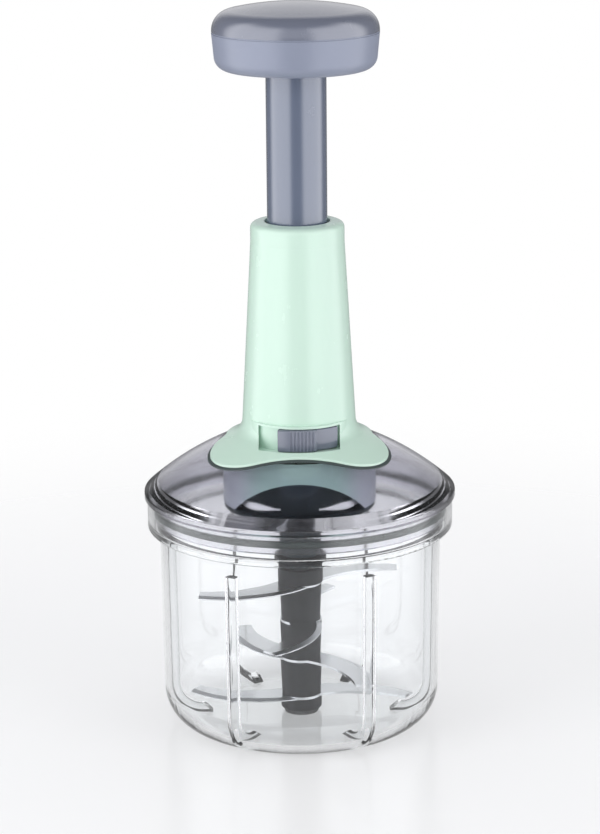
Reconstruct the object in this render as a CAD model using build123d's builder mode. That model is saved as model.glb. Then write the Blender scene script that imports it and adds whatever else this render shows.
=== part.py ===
from build123d import *
import math
import os

# Plunger food chopper: a clear bowl, a see-through domed lid with a tower, and a palm knob whose
# stem drives a twisted bar and so turns four blades. Millimetres, +Z up, front towards -Y.
# The origin is the centre of the bowl's flat underside.

# ---------------------------------------------------------------- driving dimensions

# bowl
BOWL_HEIGHT = 108.0
BOWL_RADIUS = 64.0
BOWL_TAPER = 1.0
BOWL_WALL = 2.6
BOWL_FLOOR = 3.2
BOWL_CORNER = 17.0
COLLAR_STEP = 5.4
COLLAR_DEPTH = 14.5
COLLAR_ROUND = 1.2
RIM_ROUND = 0.9
BOSS_RADIUS = 8.0
BOSS_HEIGHT = 1.6
RIB_COUNT = 6
RIB_WIDTH = 5.0
RIB_DEPTH = 4.0
RIB_TOP_DROP = 23.3
RIB_RUN_OUT = 5.0
RIB_ROUND = 1.6
PIN_RADIUS = 2.5
PIN_STAND = 52.0
PIN_ROUND = 0.8

# lid dome
LID_OVERHANG = 1.2
LID_RIM_HEIGHT = 2.5
LID_RIM_ROUND = 0.8
DOME_EDGE_INSET = 1.0
DOME_EDGE_RISE = 3.4
DOME_PEAK_RADIUS = 31.0
DOME_PEAK_RISE = 27.0
DOME_BULGE = 1.9
DOME_FLAT_RADIUS = 36.0
DOME_HOLE_RADIUS = 31.0
DOME_SKIN = 2.8
PLUG_GAP = 0.9
PLUG_WALL = 2.7
PLUG_DEPTH = 9.0
GASKET_DROP = 3.0
GASKET_HEIGHT = 3.2
GASKET_GROOVE = 1.2
GASKET_GAP = 0.3
GASKET_ROUND = 1.0

# tower and its foot
FOOT_LENGTH = 80.0
FOOT_DEPTH = 41.0
FOOT_FRONT = 36.0
FOOT_COVER = 2.2
FOOT_WAIST_ROUND = 6.0
FOOT_LIFT = 1.4
FOOT_EDGE_ROUND = 0.5
FOOT_SEAL = 0.5
FOOT_SEAL_LIP = 1.2
TOWER_HEIGHT = 125.9
TOWER_TOP_RADIUS = 21.0
TOWER_BASE_RADIUS = 25.9
TOWER_STRAIGHT = 9.1
TOWER_CROWN = 0.9
TOWER_ROUND = 2.6
TOWER_FLARE = 7.5
TOWER_WALL = 2.6
TOWER_STOP = 0.9
MOUTH_RADIUS = 14.5
MOUTH_SKIN = 3.0
MOUTH_ROUND = 0.6
SPIGOT_WALL = 2.3
SPIGOT_GAP = 0.3
SPIGOT_STEP = 3.0
HOOD_RADIUS = 23.5
HOOD_FORWARD = 4.2
HOOD_RISE = 1.0
HOOD_BLEND = 9.0
HOOD_SINK = 3.0

# plunger
STROKE = 66.7
STOP_GAP = 0.4
STEM_RADIUS = 13.4
STEM_WALL = 2.4
STEM_TOP_WALL = 5.0
STEM_FLANGE_RADIUS = 17.4
STEM_FLANGE = 4.0
STEM_ROUND = 0.6
SLIDE_FIT = 0.1
BUSH_WALL = 3.6
BUSH_LIP = 1.2
BUSH_LIP_HEIGHT = 2.0
KEY_WIDTH = 3.0
KEY_DEPTH = 1.0
KEY_GAP = 0.2

# palm knob
KNOB_RADIUS = 36.9
KNOB_LEAN = 1.5
KNOB_BODY_HEIGHT = 16.2
KNOB_LOWER_ROUND = 6.0
KNOB_LIP_ROUND = 0.6
KNOB_GROOVE = 0.7
KNOB_CAP_SIDE = 7.6
KNOB_CROWN = 4.8
KNOB_SHOULDER = 9.0
KNOB_SHOULDER_INSET = 0.5
KNOB_WALL = 2.4
KNOB_SOCKET = 8.0
KNOB_WEB = 3.0
KNOB_SPIGOT_WALL = 2.0
KNOB_SPIGOT_DEPTH = 3.0
KNOB_SPIGOT_GAP = 0.7
KNOB_POST_RADIUS = 10.0
KNOB_POST_WALL = 2.0
KNOB_SCREW_RADIUS = 1.6
KNOB_SCREW_LENGTH = 7.0
KNOB_SCREW_HEAD_RADIUS = 3.2
KNOB_SCREW_HEAD = 2.4
KNOB_WASHER_RADIUS = 6.5
KNOB_WASHER = 1.0

# catch
CATCH_HEIGHT = 9.8
CATCH_TRAVEL_ANGLE = 17.5
CATCH_GAP = 0.3
CATCH_FLOOR = 1.0
CATCH_RING_RADIUS = 22.7
CATCH_RING_WALL = 3.9
LUG_COUNT = 3
LUG_START_ANGLE = 60.0
LUG_REACH = 4.1
LUG_HEIGHT = 2.0
LUG_ARC = 11.0
LUG_GAP = 0.3
LUG_NOTCH_MARGIN_ANGLE = 2.0
LUG_NOTCH_GAP = 0.5
ARM_ARC = 9.0
ARM_CENTRE_ANGLE = 5.5
ARM_INSET = 1.5
ARM_REACH = 1.4
SLOT_GAP = 0.5
SLOT_MARGIN_ANGLE = 0.5
RECESS_RADIUS = 24.9
RECESS_FRONT_GAP = 3.4
PAD_START_ANGLE = -19.5
PAD_END_ANGLE = 40.0
PAD_PLATE = 2.0
PAD_GRIP = 4.4
PAD_GRIP_END_ANGLE = 17.0
PAD_ROUND = 0.8
PAD_GROOVE_COUNT = 6
PAD_GROOVE_START_ANGLE = -7.0
PAD_GROOVE_STEP_ANGLE = 3.4
PAD_GROOVE_ARC = 1.5
PAD_GROOVE_DEPTH = 0.7

# twisted bar, nut and spring
TURNS_PER_STROKE = 2
BAR_WIDTH = 9.0
BAR_THICKNESS = 5.0
BAR_ROUND = 1.2
BAR_FIT = 0.25
BAR_OVERRUN = 3.5
BAR_COLLAR_RADIUS = 7.5
BAR_COLLAR = 1.5
JOURNAL_RADIUS = 5.2
JOURNAL_FIT = 0.05
NUT_FLANGE_RADIUS = 16.2
NUT_FLANGE = 2.0
NUT_HEIGHT = 8.0
NUT_FIT = 0.05
NUT_SCREW_COUNT = 3
NUT_SCREW_RADIUS = 0.9
NUT_SCREW_HEAD_RADIUS = 1.7
NUT_SCREW_HEAD = 1.0
NUT_SCREW_LENGTH = 5.0
SPRING_RADIUS = 13.2
SPRING_WIRE = 1.3
SPRING_TURNS = 8
WASHER_SKIN = 0.8
SPRING_WASHER_WIDTH = 3.4
THRUST_WASHER_RADIUS = 8.6
SCREW_BUSH_WALL = 2.0

# drive housing under the dome
HOUSING_DROP = 4.8
FLANGE_SKIN = 2.4
FLANGE_RADIUS = 34.2
FLANGE_ROUND = 0.8
HOUSING_RADIUS = 30.6
HOUSING_WALL = 1.8
HOUSING_DEPTH = 13.4
CAP_SKIN = 2.5
CAP_HUB_RADIUS = 10.0
CAP_RING_WALL = 1.3
DRUM_RADIUS = 34.5
DRUM_WALL = 2.6
DRUM_WEB = 2.5
WINDOW_WIDTH = 58.0
WINDOW_HEIGHT = 15.2
NECK_RADIUS = 9.5
NECK_LENGTH = 23.6
NECK_ROUND = 3.0
NECK_BUSH_RADIUS = 7.0
NECK_BUSH_LENGTH = 8.0
BOLT_CIRCLE = 26.6
BOLT_SPREAD_ANGLE = 20.0
BOLT_RADIUS = 1.5
BOLT_HEAD_RADIUS = 2.8
BOLT_HEAD = 1.6
BOLT_GRIP = 9.0
BOLT_BOSS_RADIUS = 3.0
BOLT_CLEARANCE = 0.2
BOLT_SLOT_LENGTH = 3.9
BOLT_SLOT_WIDTH = 0.8
BOLT_SLOT_DEPTH = 0.8

# one-way clutch, output shaft and coupling
RUN_GAP = 0.4
SHAFT_RADIUS = 4.5
SHAFT_FIT = 0.05
SHAFT_HEAD_RADIUS = 7.5
SHAFT_HEAD = 1.5
RATCHET_RADIUS = 21.8
RATCHET_WALL = 1.4
RATCHET_FLOOR = 2.0
RATCHET_HEIGHT = 10.6
RATCHET_TEETH = 12
RATCHET_TOOTH = 2.0
PAWL_COUNT = 3
PAWL_HUB_RADIUS = 8.5
PAWL_HEIGHT = 4.5
PAWL_RADIUS = 16.4
PAWL_THICKNESS = 1.8
PAWL_SWEEP_ANGLE = 70.0
PAWL_ROOT_ARC = 12.0
PAWL_TIP_ARC = 7.5
PAWL_GAP_ANGLE = 0.8
PAWL_CLEAR = 0.3
DRIVER_PIN_RADIUS = 1.2
DRIVER_PIN_INSET = 0.5
COUPLING_COLLAR_RADIUS = 11.9
COUPLING_COLLAR = 2.5
COUPLING_SKIRT_RADIUS = 10.1
COUPLING_SKIRT = 2.6
COUPLING_FLOOR = 1.0
TIP_FLATS = 10.0
TIP_LENGTH = 6.0
TIP_FIT = 0.3
TIP_SCREW_RADIUS = 1.5
TIP_SCREW_HEAD_RADIUS = 2.6
TIP_SCREW_HEAD = 1.8
TIP_SCREW_GRIP = 7.0

# blade stack
HEAD_GAP = 0.8
HEAD_RADIUS = 10.3
HEAD_HEIGHT = 7.0
HEAD_ROUND = 0.8
SHANK_FLATS = 9.0
SHANK_FIT = 0.1
SPACER_TOP_RADIUS = 9.6
SPACER_BASE_RADIUS = 8.9
SPINDLE_FOOT_HEIGHT = 6.0
SPINDLE_FOOT_LEDGE = 1.6
SPINDLE_FOOT_RADIUS = 9.4
THRUST_GAP = 0.3
PIVOT_FIT = 0.08
PIVOT_OVERRUN = 1.0
BLADE_COUNT = 4
BLADE_SKIN = 1.2
BLADE_DISC_RADIUS = 9.5
BLADE_REACH = 51.5
BLADE_TIP = 7.0
BLADE_ROOT = 9.0
BLADE_BOW = 14.0
BLADE_HOLLOW = 1.5
BLADE_TURN_ANGLE = 50.0
BLADE_START_ANGLE = 24.0
BEVEL_WIDTH = 2.4
BEVEL_DEPTH = 0.7

FRONT_ANGLE = -90.0
SEAM = 0.5

# ---------------------------------------------------------------- levels and radii that follow

rim = BOWL_HEIGHT
base_radius = BOWL_RADIUS - BOWL_TAPER
collar_radius = BOWL_RADIUS + COLLAR_STEP
collar_base = rim - COLLAR_DEPTH
bowl_bore = BOWL_RADIUS - BOWL_WALL
base_bore = base_radius - BOWL_WALL
collar_bore = collar_radius - BOWL_WALL
lid_radius = collar_radius + LID_OVERHANG
dome_edge_radius = lid_radius - DOME_EDGE_INSET
plug_radius = collar_bore - PLUG_GAP
boss_top = BOWL_FLOOR + BOSS_HEIGHT
pin_top = boss_top + PIN_STAND


def dome_height(radius):
    """Height of the dome's outer face, a round arc, above the floor at a radius."""
    run = dome_edge_radius - DOME_PEAK_RADIUS
    climb = DOME_PEAK_RISE - DOME_EDGE_RISE
    chord = math.hypot(run, climb)
    arc_radius = (chord ** 2 / 4 + DOME_BULGE ** 2) / (2 * DOME_BULGE)
    inset = arc_radius - DOME_BULGE
    centre_radius = (dome_edge_radius + DOME_PEAK_RADIUS) / 2 - inset * climb / chord
    centre_rise = (DOME_EDGE_RISE + DOME_PEAK_RISE) / 2 - inset * run / chord
    return rim + centre_rise + math.sqrt(arc_radius ** 2 - (radius - centre_radius) ** 2)


dome_top = dome_height(DOME_FLAT_RADIUS)
plug_bore = plug_radius - PLUG_WALL
foot_reach = math.hypot(FOOT_LENGTH / 2, FOOT_FRONT)
foot_round = DOME_HOLE_RADIUS + FOOT_COVER
tower_top = rim + TOWER_HEIGHT
recess_base = dome_top + FOOT_SEAL + CATCH_FLOOR
catch_base = recess_base + CATCH_GAP
catch_top = catch_base + CATCH_HEIGHT
recess_top = catch_top + CATCH_GAP
lug_base = catch_top - LUG_HEIGHT
ring_inner = CATCH_RING_RADIUS - CATCH_RING_WALL
ring_bore = CATCH_RING_RADIUS + CATCH_GAP
lug_inner = ring_inner - LUG_REACH
lug_centres = [LUG_START_ANGLE + 360 / LUG_COUNT * number for number in range(LUG_COUNT)]
arm_start = ARM_CENTRE_ANGLE - ARM_ARC / 2
arm_end = ARM_CENTRE_ANGLE + ARM_ARC / 2
arm_base = catch_base + ARM_INSET
arm_height = CATCH_HEIGHT - 2 * ARM_INSET
pad_inner = RECESS_RADIUS + CATCH_GAP
pad_outer = pad_inner + PAD_GRIP
pad_far_angle = CATCH_TRAVEL_ANGLE - PAD_START_ANGLE
recess_half = pad_outer * math.sin(math.radians(pad_far_angle)) + CATCH_GAP
recess_reach = pad_outer + RECESS_FRONT_GAP

flange_top = lug_base - LUG_GAP + STROKE
stem_base = flange_top - STEM_FLANGE
nut_base = stem_base - NUT_FLANGE
nut_top = stem_base + NUT_HEIGHT
bush_base = flange_top + LUG_GAP
bush_top = tower_top - MOUTH_SKIN
bush_bore = STEM_RADIUS + SLIDE_FIT
bush_radius = STEM_RADIUS + BUSH_WALL
knob_base = tower_top + STROKE + STOP_GAP
stem_top = knob_base + KNOB_SOCKET
stem_bore = STEM_RADIUS - STEM_WALL
knob_seam = knob_base + KNOB_BODY_HEIGHT
cap_base = knob_seam + KNOB_GROOVE
knob_crown = cap_base + KNOB_CAP_SIDE + KNOB_CROWN
knob_web_top = stem_top + KNOB_WEB
bar_lead = STROKE / TURNS_PER_STROKE

housing_base = rim - HOUSING_DROP
housing_floor = housing_base + FLANGE_SKIN
housing_top = housing_floor + HOUSING_DEPTH
housing_cap_top = housing_top + CAP_SKIN
web_top = housing_cap_top + DRUM_WEB
neck_base = housing_base - NECK_LENGTH
spigot_radius = DOME_HOLE_RADIUS - SPIGOT_GAP
spigot_bore = spigot_radius - SPIGOT_WALL
spigot_ceiling = catch_base - SPIGOT_STEP
drum_bore = DRUM_RADIUS - DRUM_WALL

ratchet_base = housing_floor + RUN_GAP
ratchet_floor = ratchet_base + RATCHET_FLOOR
ratchet_top = ratchet_base + RATCHET_HEIGHT
ratchet_bore = RATCHET_RADIUS - RATCHET_WALL
shaft_head_top = ratchet_floor + SHAFT_HEAD
pawl_base = shaft_head_top + RUN_GAP
pawl_top = pawl_base + PAWL_HEIGHT
cap_hub_base = pawl_top + RUN_GAP
seat_top = housing_cap_top + WASHER_SKIN
bar_collar_base = seat_top + SLIDE_FIT
bar_base = bar_collar_base + BAR_COLLAR
bar_top = nut_top + BAR_OVERRUN
screw_bush_radius = JOURNAL_RADIUS + SCREW_BUSH_WALL

collar_top = neck_base - RUN_GAP
skirt_top = collar_top - COUPLING_COLLAR
skirt_base = skirt_top - COUPLING_SKIRT
shaft_base = skirt_base + COUPLING_FLOOR
tip_base = skirt_base - TIP_LENGTH
head_top = skirt_base - HEAD_GAP
head_base = head_top - HEAD_HEIGHT
socket_base = tip_base - TIP_FIT
spindle_foot_base = boss_top + THRUST_GAP
spindle_foot_top = spindle_foot_base + SPINDLE_FOOT_HEIGHT
shank_base = spindle_foot_base + SPINDLE_FOOT_LEDGE
blade_pitch = (head_base - BLADE_SKIN - spindle_foot_top) / (BLADE_COUNT - 1)
blade_levels = [head_base - BLADE_SKIN - blade_pitch * number for number in range(BLADE_COUNT)]

# the clamping screws stand in pairs behind the two side pillars of the drum
bolt_places = [
    (BOLT_CIRCLE * math.cos(math.radians(angle)), BOLT_CIRCLE * math.sin(math.radians(angle)))
    for angle in (-BOLT_SPREAD_ANGLE, BOLT_SPREAD_ANGLE, 180 - BOLT_SPREAD_ANGLE, 180 + BOLT_SPREAD_ANGLE)
]
nut_screw_circle = (stem_bore + NUT_FLANGE_RADIUS) / 2
nut_screw_places = [
    (
        nut_screw_circle * math.cos(math.radians(FRONT_ANGLE + 360 / NUT_SCREW_COUNT * number)),
        nut_screw_circle * math.sin(math.radians(FRONT_ANGLE + 360 / NUT_SCREW_COUNT * number)),
    )
    for number in range(NUT_SCREW_COUNT)
]


# ---------------------------------------------------------------- helpers

def corner(points, radius, height):
    """The one of the points that lies nearest to a radius and a height."""
    return points.sort_by_distance((radius, height))[0]


def turned(*outline, rounds=()):
    """Upright half section of a turned piece, from (radius, height) points.

    rounds holds (radius, height, size) for each corner that is rounded.
    """
    with BuildSketch(Plane.XZ) as section:
        with BuildLine():
            Polyline(*outline, close=True)
        make_face()
        for radius, height, size in rounds:
            fillet(corner(section.vertices(), radius, height), size)
    return section.sketch


def ring(inner, outer, low, high, rounds=()):
    """Upright half section of a plain ring."""
    return turned((inner, low), (outer, low), (outer, high), (inner, high), rounds=rounds)


def sector(inner, outer, start, end, level):
    """Flat piece of a ring at a level, between two angles in degrees from the front."""
    with BuildSketch(Plane.XY.offset(level)) as piece:
        with BuildLine():
            inner_arc = CenterArc((0, 0), inner, FRONT_ANGLE + start, end - start)
            outer_arc = CenterArc((0, 0), outer, FRONT_ANGLE + start, end - start)
            Line(inner_arc @ 0, outer_arc @ 0)
            Line(inner_arc @ 1, outer_arc @ 1)
        make_face()
    return piece.sketch


def dome_arc(start, end, lift):
    """Arc that runs with the dome's outer face between two radii, lifted off it."""
    stops = [(radius, dome_height(radius) + lift) for radius in (start, (start + end) / 2, end)]
    return ThreePointArc(*stops)


def foot_plan(growth):
    """Face of the foot seen from above, grown on every side: a wide front lobe on a round base."""
    base = foot_round + growth
    with BuildSketch(Plane.XY.offset(rim)) as plan:
        with PolarLocations(0, 1, start_angle=-FRONT_ANGLE):
            Circle(base)
        with Locations((0, FOOT_DEPTH / 2 - FOOT_FRONT)):
            SlotOverall(FOOT_LENGTH + 2 * growth, FOOT_DEPTH + 2 * growth)
        waist = plan.vertices().filter_by(
            lambda spot: abs(math.hypot(spot.X, spot.Y) - base) < FOOT_EDGE_ROUND
            and spot.Y < base / 2
        )
        fillet(waist, FOOT_WAIST_ROUND - growth)
    return plan.sketch


def twisted(growth, low, high):
    """Twisted bar between two levels, its section grown on every side, in step with the screw."""
    with BuildSketch(Plane.XY.offset(low)) as section:
        RectangleRounded(
            BAR_WIDTH + 2 * growth,
            BAR_THICKNESS + 2 * growth,
            BAR_ROUND + growth,
            rotation=360 * (low - bar_base) / bar_lead,
        )
    turn = 360 * (high - low) / bar_lead
    return Solid.extrude_linear_with_rotation(
        section.sketch.face(), (0, 0, low), (0, 0, high - low), turn
    )


os.makedirs("parts", exist_ok=True)

# ---------------------------------------------------------------- bowl and its pivot pin

inner_corner = BOWL_CORNER - BOWL_WALL
rib_top = rim - RIB_TOP_DROP
rib_step = BOWL_FLOOR + RIB_DEPTH
rib_toe = base_bore - inner_corner - RIB_RUN_OUT

with BuildPart() as rib:
    with BuildSketch(Plane.XZ) as rib_outline:
        with BuildLine():
            Polyline(
                (rib_toe, BOWL_FLOOR / 2),
                (base_radius - BOWL_WALL / 2, BOWL_FLOOR / 2),
                (BOWL_RADIUS - BOWL_WALL / 2, rib_top),
                (bowl_bore - RIB_DEPTH, rib_top),
                (base_bore - RIB_DEPTH, rib_step),
                (base_bore - inner_corner, rib_step),
                (rib_toe, BOWL_FLOOR),
                close=True,
            )
        make_face()
        fillet(
            corner(rib_outline.vertices(), base_bore - RIB_DEPTH, rib_step),
            inner_corner - RIB_DEPTH,
        )
        fillet(
            corner(rib_outline.vertices(), base_radius - BOWL_WALL / 2, BOWL_FLOOR / 2),
            BOWL_CORNER - BOWL_WALL / 2,
        )
    extrude(amount=RIB_WIDTH / 2, both=True)
    rib_sides = rib.faces().sort_by(Axis.Y)
    long_edges = rib_sides[0].edges() + rib_sides[-1].edges()
    inner_edges = long_edges.filter_by(
        lambda edge: (edge @ 0.5).X < bowl_bore - RIB_DEPTH / 2
        and (edge @ 0.5).Z > rib_step + SEAM
    )
    fillet(inner_edges, RIB_ROUND)

with BuildPart() as bowl:
    revolve(
        turned(
            (0, 0),
            (base_radius, 0),
            (BOWL_RADIUS, collar_base),
            (collar_radius, collar_base),
            (collar_radius, rim),
            (collar_bore, rim),
            (collar_bore, collar_base + BOWL_WALL),
            (bowl_bore, collar_base + BOWL_WALL),
            (base_bore, BOWL_FLOOR),
            (0, BOWL_FLOOR),
            rounds=(
                (base_radius, 0, BOWL_CORNER),
                (base_bore, BOWL_FLOOR, inner_corner),
                (BOWL_RADIUS, collar_base, COLLAR_ROUND),
                (collar_radius, collar_base, COLLAR_ROUND),
                (bowl_bore, collar_base + BOWL_WALL, COLLAR_ROUND),
                (collar_bore, collar_base + BOWL_WALL, COLLAR_ROUND),
                (collar_radius, rim, RIM_ROUND),
                (collar_bore, rim, RIM_ROUND),
            ),
        ),
        axis=Axis.Z,
    )
    with PolarLocations(0, RIB_COUNT):
        add(rib.part)
    with BuildSketch(Plane.XY.offset(BOWL_FLOOR)):
        Circle(BOSS_RADIUS)
    extrude(amount=BOSS_HEIGHT)
    with BuildSketch(Plane.XY.offset(BOWL_FLOOR / 2)):
        Circle(PIN_RADIUS)
    extrude(amount=boss_top, mode=Mode.SUBTRACT)
bowl.part.label = "bowl"
export_step(bowl.part, "parts/bowl.step")

with BuildPart() as pivot_pin:
    revolve(
        turned(
            (0, BOWL_FLOOR / 2),
            (PIN_RADIUS, BOWL_FLOOR / 2),
            (PIN_RADIUS, pin_top),
            (0, pin_top),
            rounds=((PIN_RADIUS, pin_top, PIN_ROUND),),
        ),
        axis=Axis.Z,
    )
pivot_pin.part.label = "pivot_pin"
export_step(pivot_pin.part, "parts/pivot_pin.step")

# ---------------------------------------------------------------- blade stack

with BuildPart() as blade_spindle:
    revolve(
        ring(0, HEAD_RADIUS, head_base, head_top, rounds=((HEAD_RADIUS, head_top, HEAD_ROUND),)),
        axis=Axis.Z,
    )
    with BuildSketch(Plane.XY.offset(shank_base)):
        Rectangle(SHANK_FLATS, SHANK_FLATS)
    extrude(amount=head_base - shank_base)
    with BuildSketch(Plane.XY.offset(socket_base)):
        RegularPolygon(TIP_FLATS / 2 + TIP_FIT, 6, major_radius=False)
    extrude(amount=head_top - socket_base, mode=Mode.SUBTRACT)
    with BuildSketch(Plane.XY.offset(shank_base)):
        Circle(PIN_RADIUS + PIVOT_FIT)
    extrude(amount=pin_top + PIVOT_OVERRUN - shank_base, mode=Mode.SUBTRACT)
blade_spindle.part.label = "blade_spindle"
export_step(blade_spindle.part, "parts/blade_spindle.step")

with BuildPart() as spindle_foot:
    revolve(
        ring(
            0,
            SPINDLE_FOOT_RADIUS,
            spindle_foot_base,
            spindle_foot_top,
            rounds=((SPINDLE_FOOT_RADIUS, spindle_foot_base, HEAD_ROUND),),
        ),
        axis=Axis.Z,
    )
    with BuildSketch(Plane.XY.offset(spindle_foot_base)):
        Circle(PIN_RADIUS + PIVOT_FIT)
    extrude(amount=SPINDLE_FOOT_HEIGHT, mode=Mode.SUBTRACT)
    with BuildSketch(Plane.XY.offset(shank_base)):
        Rectangle(SHANK_FLATS + 2 * SHANK_FIT, SHANK_FLATS + 2 * SHANK_FIT)
    extrude(amount=spindle_foot_top - shank_base, mode=Mode.SUBTRACT)
spindle_foot.part.label = "spindle_foot"
export_step(spindle_foot.part, "parts/spindle_foot.step")


def blade_outline(plane, turn):
    """Plan of an S-shaped blade on a plane that is turned about the spindle's square shank."""
    with BuildSketch(plane) as outline:
        with BuildSketch(mode=Mode.PRIVATE) as wing:
            with BuildLine():
                lead = ThreePointArc(
                    (0, BLADE_ROOT), (BLADE_REACH / 2, BLADE_BOW), (BLADE_REACH, BLADE_TIP / 2)
                )
                trail = ThreePointArc(
                    (BLADE_REACH - BLADE_TIP / 2, -BLADE_TIP / 2),
                    (BLADE_REACH / 2, BLADE_HOLLOW),
                    (0, -BLADE_ROOT),
                )
                Line(lead @ 1, trail @ 0)
                Line(trail @ 1, lead @ 0)
            make_face()
        with PolarLocations(0, 2):
            add(wing.sketch)
        Circle(BLADE_DISC_RADIUS)
        Rectangle(
            SHANK_FLATS + 2 * SHANK_FIT,
            SHANK_FLATS + 2 * SHANK_FIT,
            rotation=-turn,
            mode=Mode.SUBTRACT,
        )
    return outline.sketch


for number, level in enumerate(blade_levels):
    blade_turn = BLADE_START_ANGLE + BLADE_TURN_ANGLE * number
    with BuildPart() as blade:
        extrude(
            blade_outline(Plane.XY.offset(level).rotated((0, 0, blade_turn)), blade_turn),
            amount=BLADE_SKIN,
        )
        top_face = blade.faces().sort_by(Axis.Z)[-1]
        cutting_edges = top_face.edges().sort_by(SortBy.LENGTH)[-2:]
        chamfer(cutting_edges, length=BEVEL_WIDTH, length2=BEVEL_DEPTH, reference=top_face)
    blade.part.label = f"blade_{number + 1}"
    export_step(blade.part, f"parts/blade_{number + 1}.step")

for number in range(BLADE_COUNT - 1):
    spacer_top = blade_levels[number]
    spacer_base = blade_levels[number + 1] + BLADE_SKIN
    with BuildPart() as spacer:
        revolve(
            turned(
                (0, spacer_base),
                (SPACER_BASE_RADIUS, spacer_base),
                (SPACER_TOP_RADIUS, spacer_top),
                (0, spacer_top),
            ),
            axis=Axis.Z,
        )
        with BuildSketch(Plane.XY.offset(spacer_base)):
            Rectangle(SHANK_FLATS + 2 * SHANK_FIT, SHANK_FLATS + 2 * SHANK_FIT)
        extrude(amount=spacer_top - spacer_base, mode=Mode.SUBTRACT)
    spacer.part.label = f"hub_spacer_{number + 1}"
    export_step(spacer.part, f"parts/hub_spacer_{number + 1}.step")

# ---------------------------------------------------------------- lid dome and gaskets

with BuildPart() as lid_dome:
    with BuildSketch(Plane.XZ) as dome_section:
        with BuildLine():
            over = dome_arc(DOME_FLAT_RADIUS, dome_edge_radius, 0)
            under = dome_arc(DOME_FLAT_RADIUS, plug_bore, -DOME_SKIN)
            Polyline(
                over @ 0,
                (DOME_HOLE_RADIUS, dome_top),
                (DOME_HOLE_RADIUS, dome_top - DOME_SKIN),
                under @ 0,
            )
            Polyline(
                under @ 1,
                (plug_bore, rim - PLUG_DEPTH),
                (plug_radius, rim - PLUG_DEPTH),
                (plug_radius, rim),
                (lid_radius, rim),
                (lid_radius, rim + LID_RIM_HEIGHT),
                over @ 1,
            )
        make_face()
        fillet(corner(dome_section.vertices(), lid_radius, rim + LID_RIM_HEIGHT), LID_RIM_ROUND)
    revolve(axis=Axis.Z)
    revolve(
        ring(
            plug_radius - GASKET_GROOVE,
            plug_radius + SEAM,
            rim - GASKET_DROP - GASKET_HEIGHT,
            rim - GASKET_DROP,
        ),
        axis=Axis.Z,
        mode=Mode.SUBTRACT,
    )
lid_dome.part.label = "lid_dome"
export_step(lid_dome.part, "parts/lid_dome.step")

with BuildPart() as lid_gasket:
    revolve(
        ring(
            plug_radius - GASKET_GROOVE,
            collar_bore - GASKET_GAP,
            rim - GASKET_DROP - GASKET_HEIGHT,
            rim - GASKET_DROP,
            rounds=(
                (collar_bore - GASKET_GAP, rim - GASKET_DROP - GASKET_HEIGHT, GASKET_ROUND),
                (collar_bore - GASKET_GAP, rim - GASKET_DROP, GASKET_ROUND),
            ),
        ),
        axis=Axis.Z,
    )
lid_gasket.part.label = "lid_gasket"
export_step(lid_gasket.part, "parts/lid_gasket.step")

with BuildPart() as foot_gasket:
    with BuildSketch(Plane.XZ):
        with BuildLine():
            over = dome_arc(DOME_FLAT_RADIUS, foot_reach, FOOT_SEAL)
            under = dome_arc(DOME_FLAT_RADIUS, foot_reach, 0)
            Polyline(
                over @ 0,
                (DOME_HOLE_RADIUS, dome_top + FOOT_SEAL),
                (DOME_HOLE_RADIUS, dome_top),
                under @ 0,
            )
            Line(under @ 1, over @ 1)
        make_face()
    revolve(axis=Axis.Z)
    extrude(foot_plan(FOOT_SEAL_LIP), amount=TOWER_HEIGHT, mode=Mode.INTERSECT)
foot_gasket.part.label = "foot_gasket"
export_step(foot_gasket.part, "parts/foot_gasket.step")

# ---------------------------------------------------------------- tower and stem bush

column_foot = dome_height(TOWER_BASE_RADIUS) + FOOT_LIFT
column_slope = (TOWER_BASE_RADIUS - TOWER_TOP_RADIUS) / (tower_top - TOWER_STRAIGHT - column_foot)
bush_lip_top = bush_base + BUSH_LIP_HEIGHT
lip_bore = (
    TOWER_TOP_RADIUS + column_slope * (tower_top - TOWER_STRAIGHT - bush_lip_top) - TOWER_WALL
)
stop_bore = CATCH_RING_RADIUS - TOWER_STOP

with BuildPart() as hood:
    with BuildSketch(Plane.XY.offset(recess_base)):
        with Locations((0, -HOOD_FORWARD)):
            Circle(HOOD_RADIUS)
    extrude(amount=recess_top + HOOD_RISE - recess_base)
    with BuildSketch(Plane.XY.offset(recess_top + HOOD_RISE)) as hood_low:
        with Locations((0, -HOOD_FORWARD)):
            Circle(HOOD_RADIUS)
    with BuildSketch(Plane.XY.offset(recess_top + HOOD_RISE + HOOD_BLEND)) as hood_high:
        with Locations((0, HOOD_SINK - HOOD_FORWARD)):
            Circle(HOOD_RADIUS)
    loft([hood_low.sketch, hood_high.sketch], ruled=True)
    with BuildSketch(Plane.XY.offset(recess_base)):
        Circle(ring_bore + SEAM)
    extrude(amount=TOWER_HEIGHT, mode=Mode.SUBTRACT)

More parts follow.
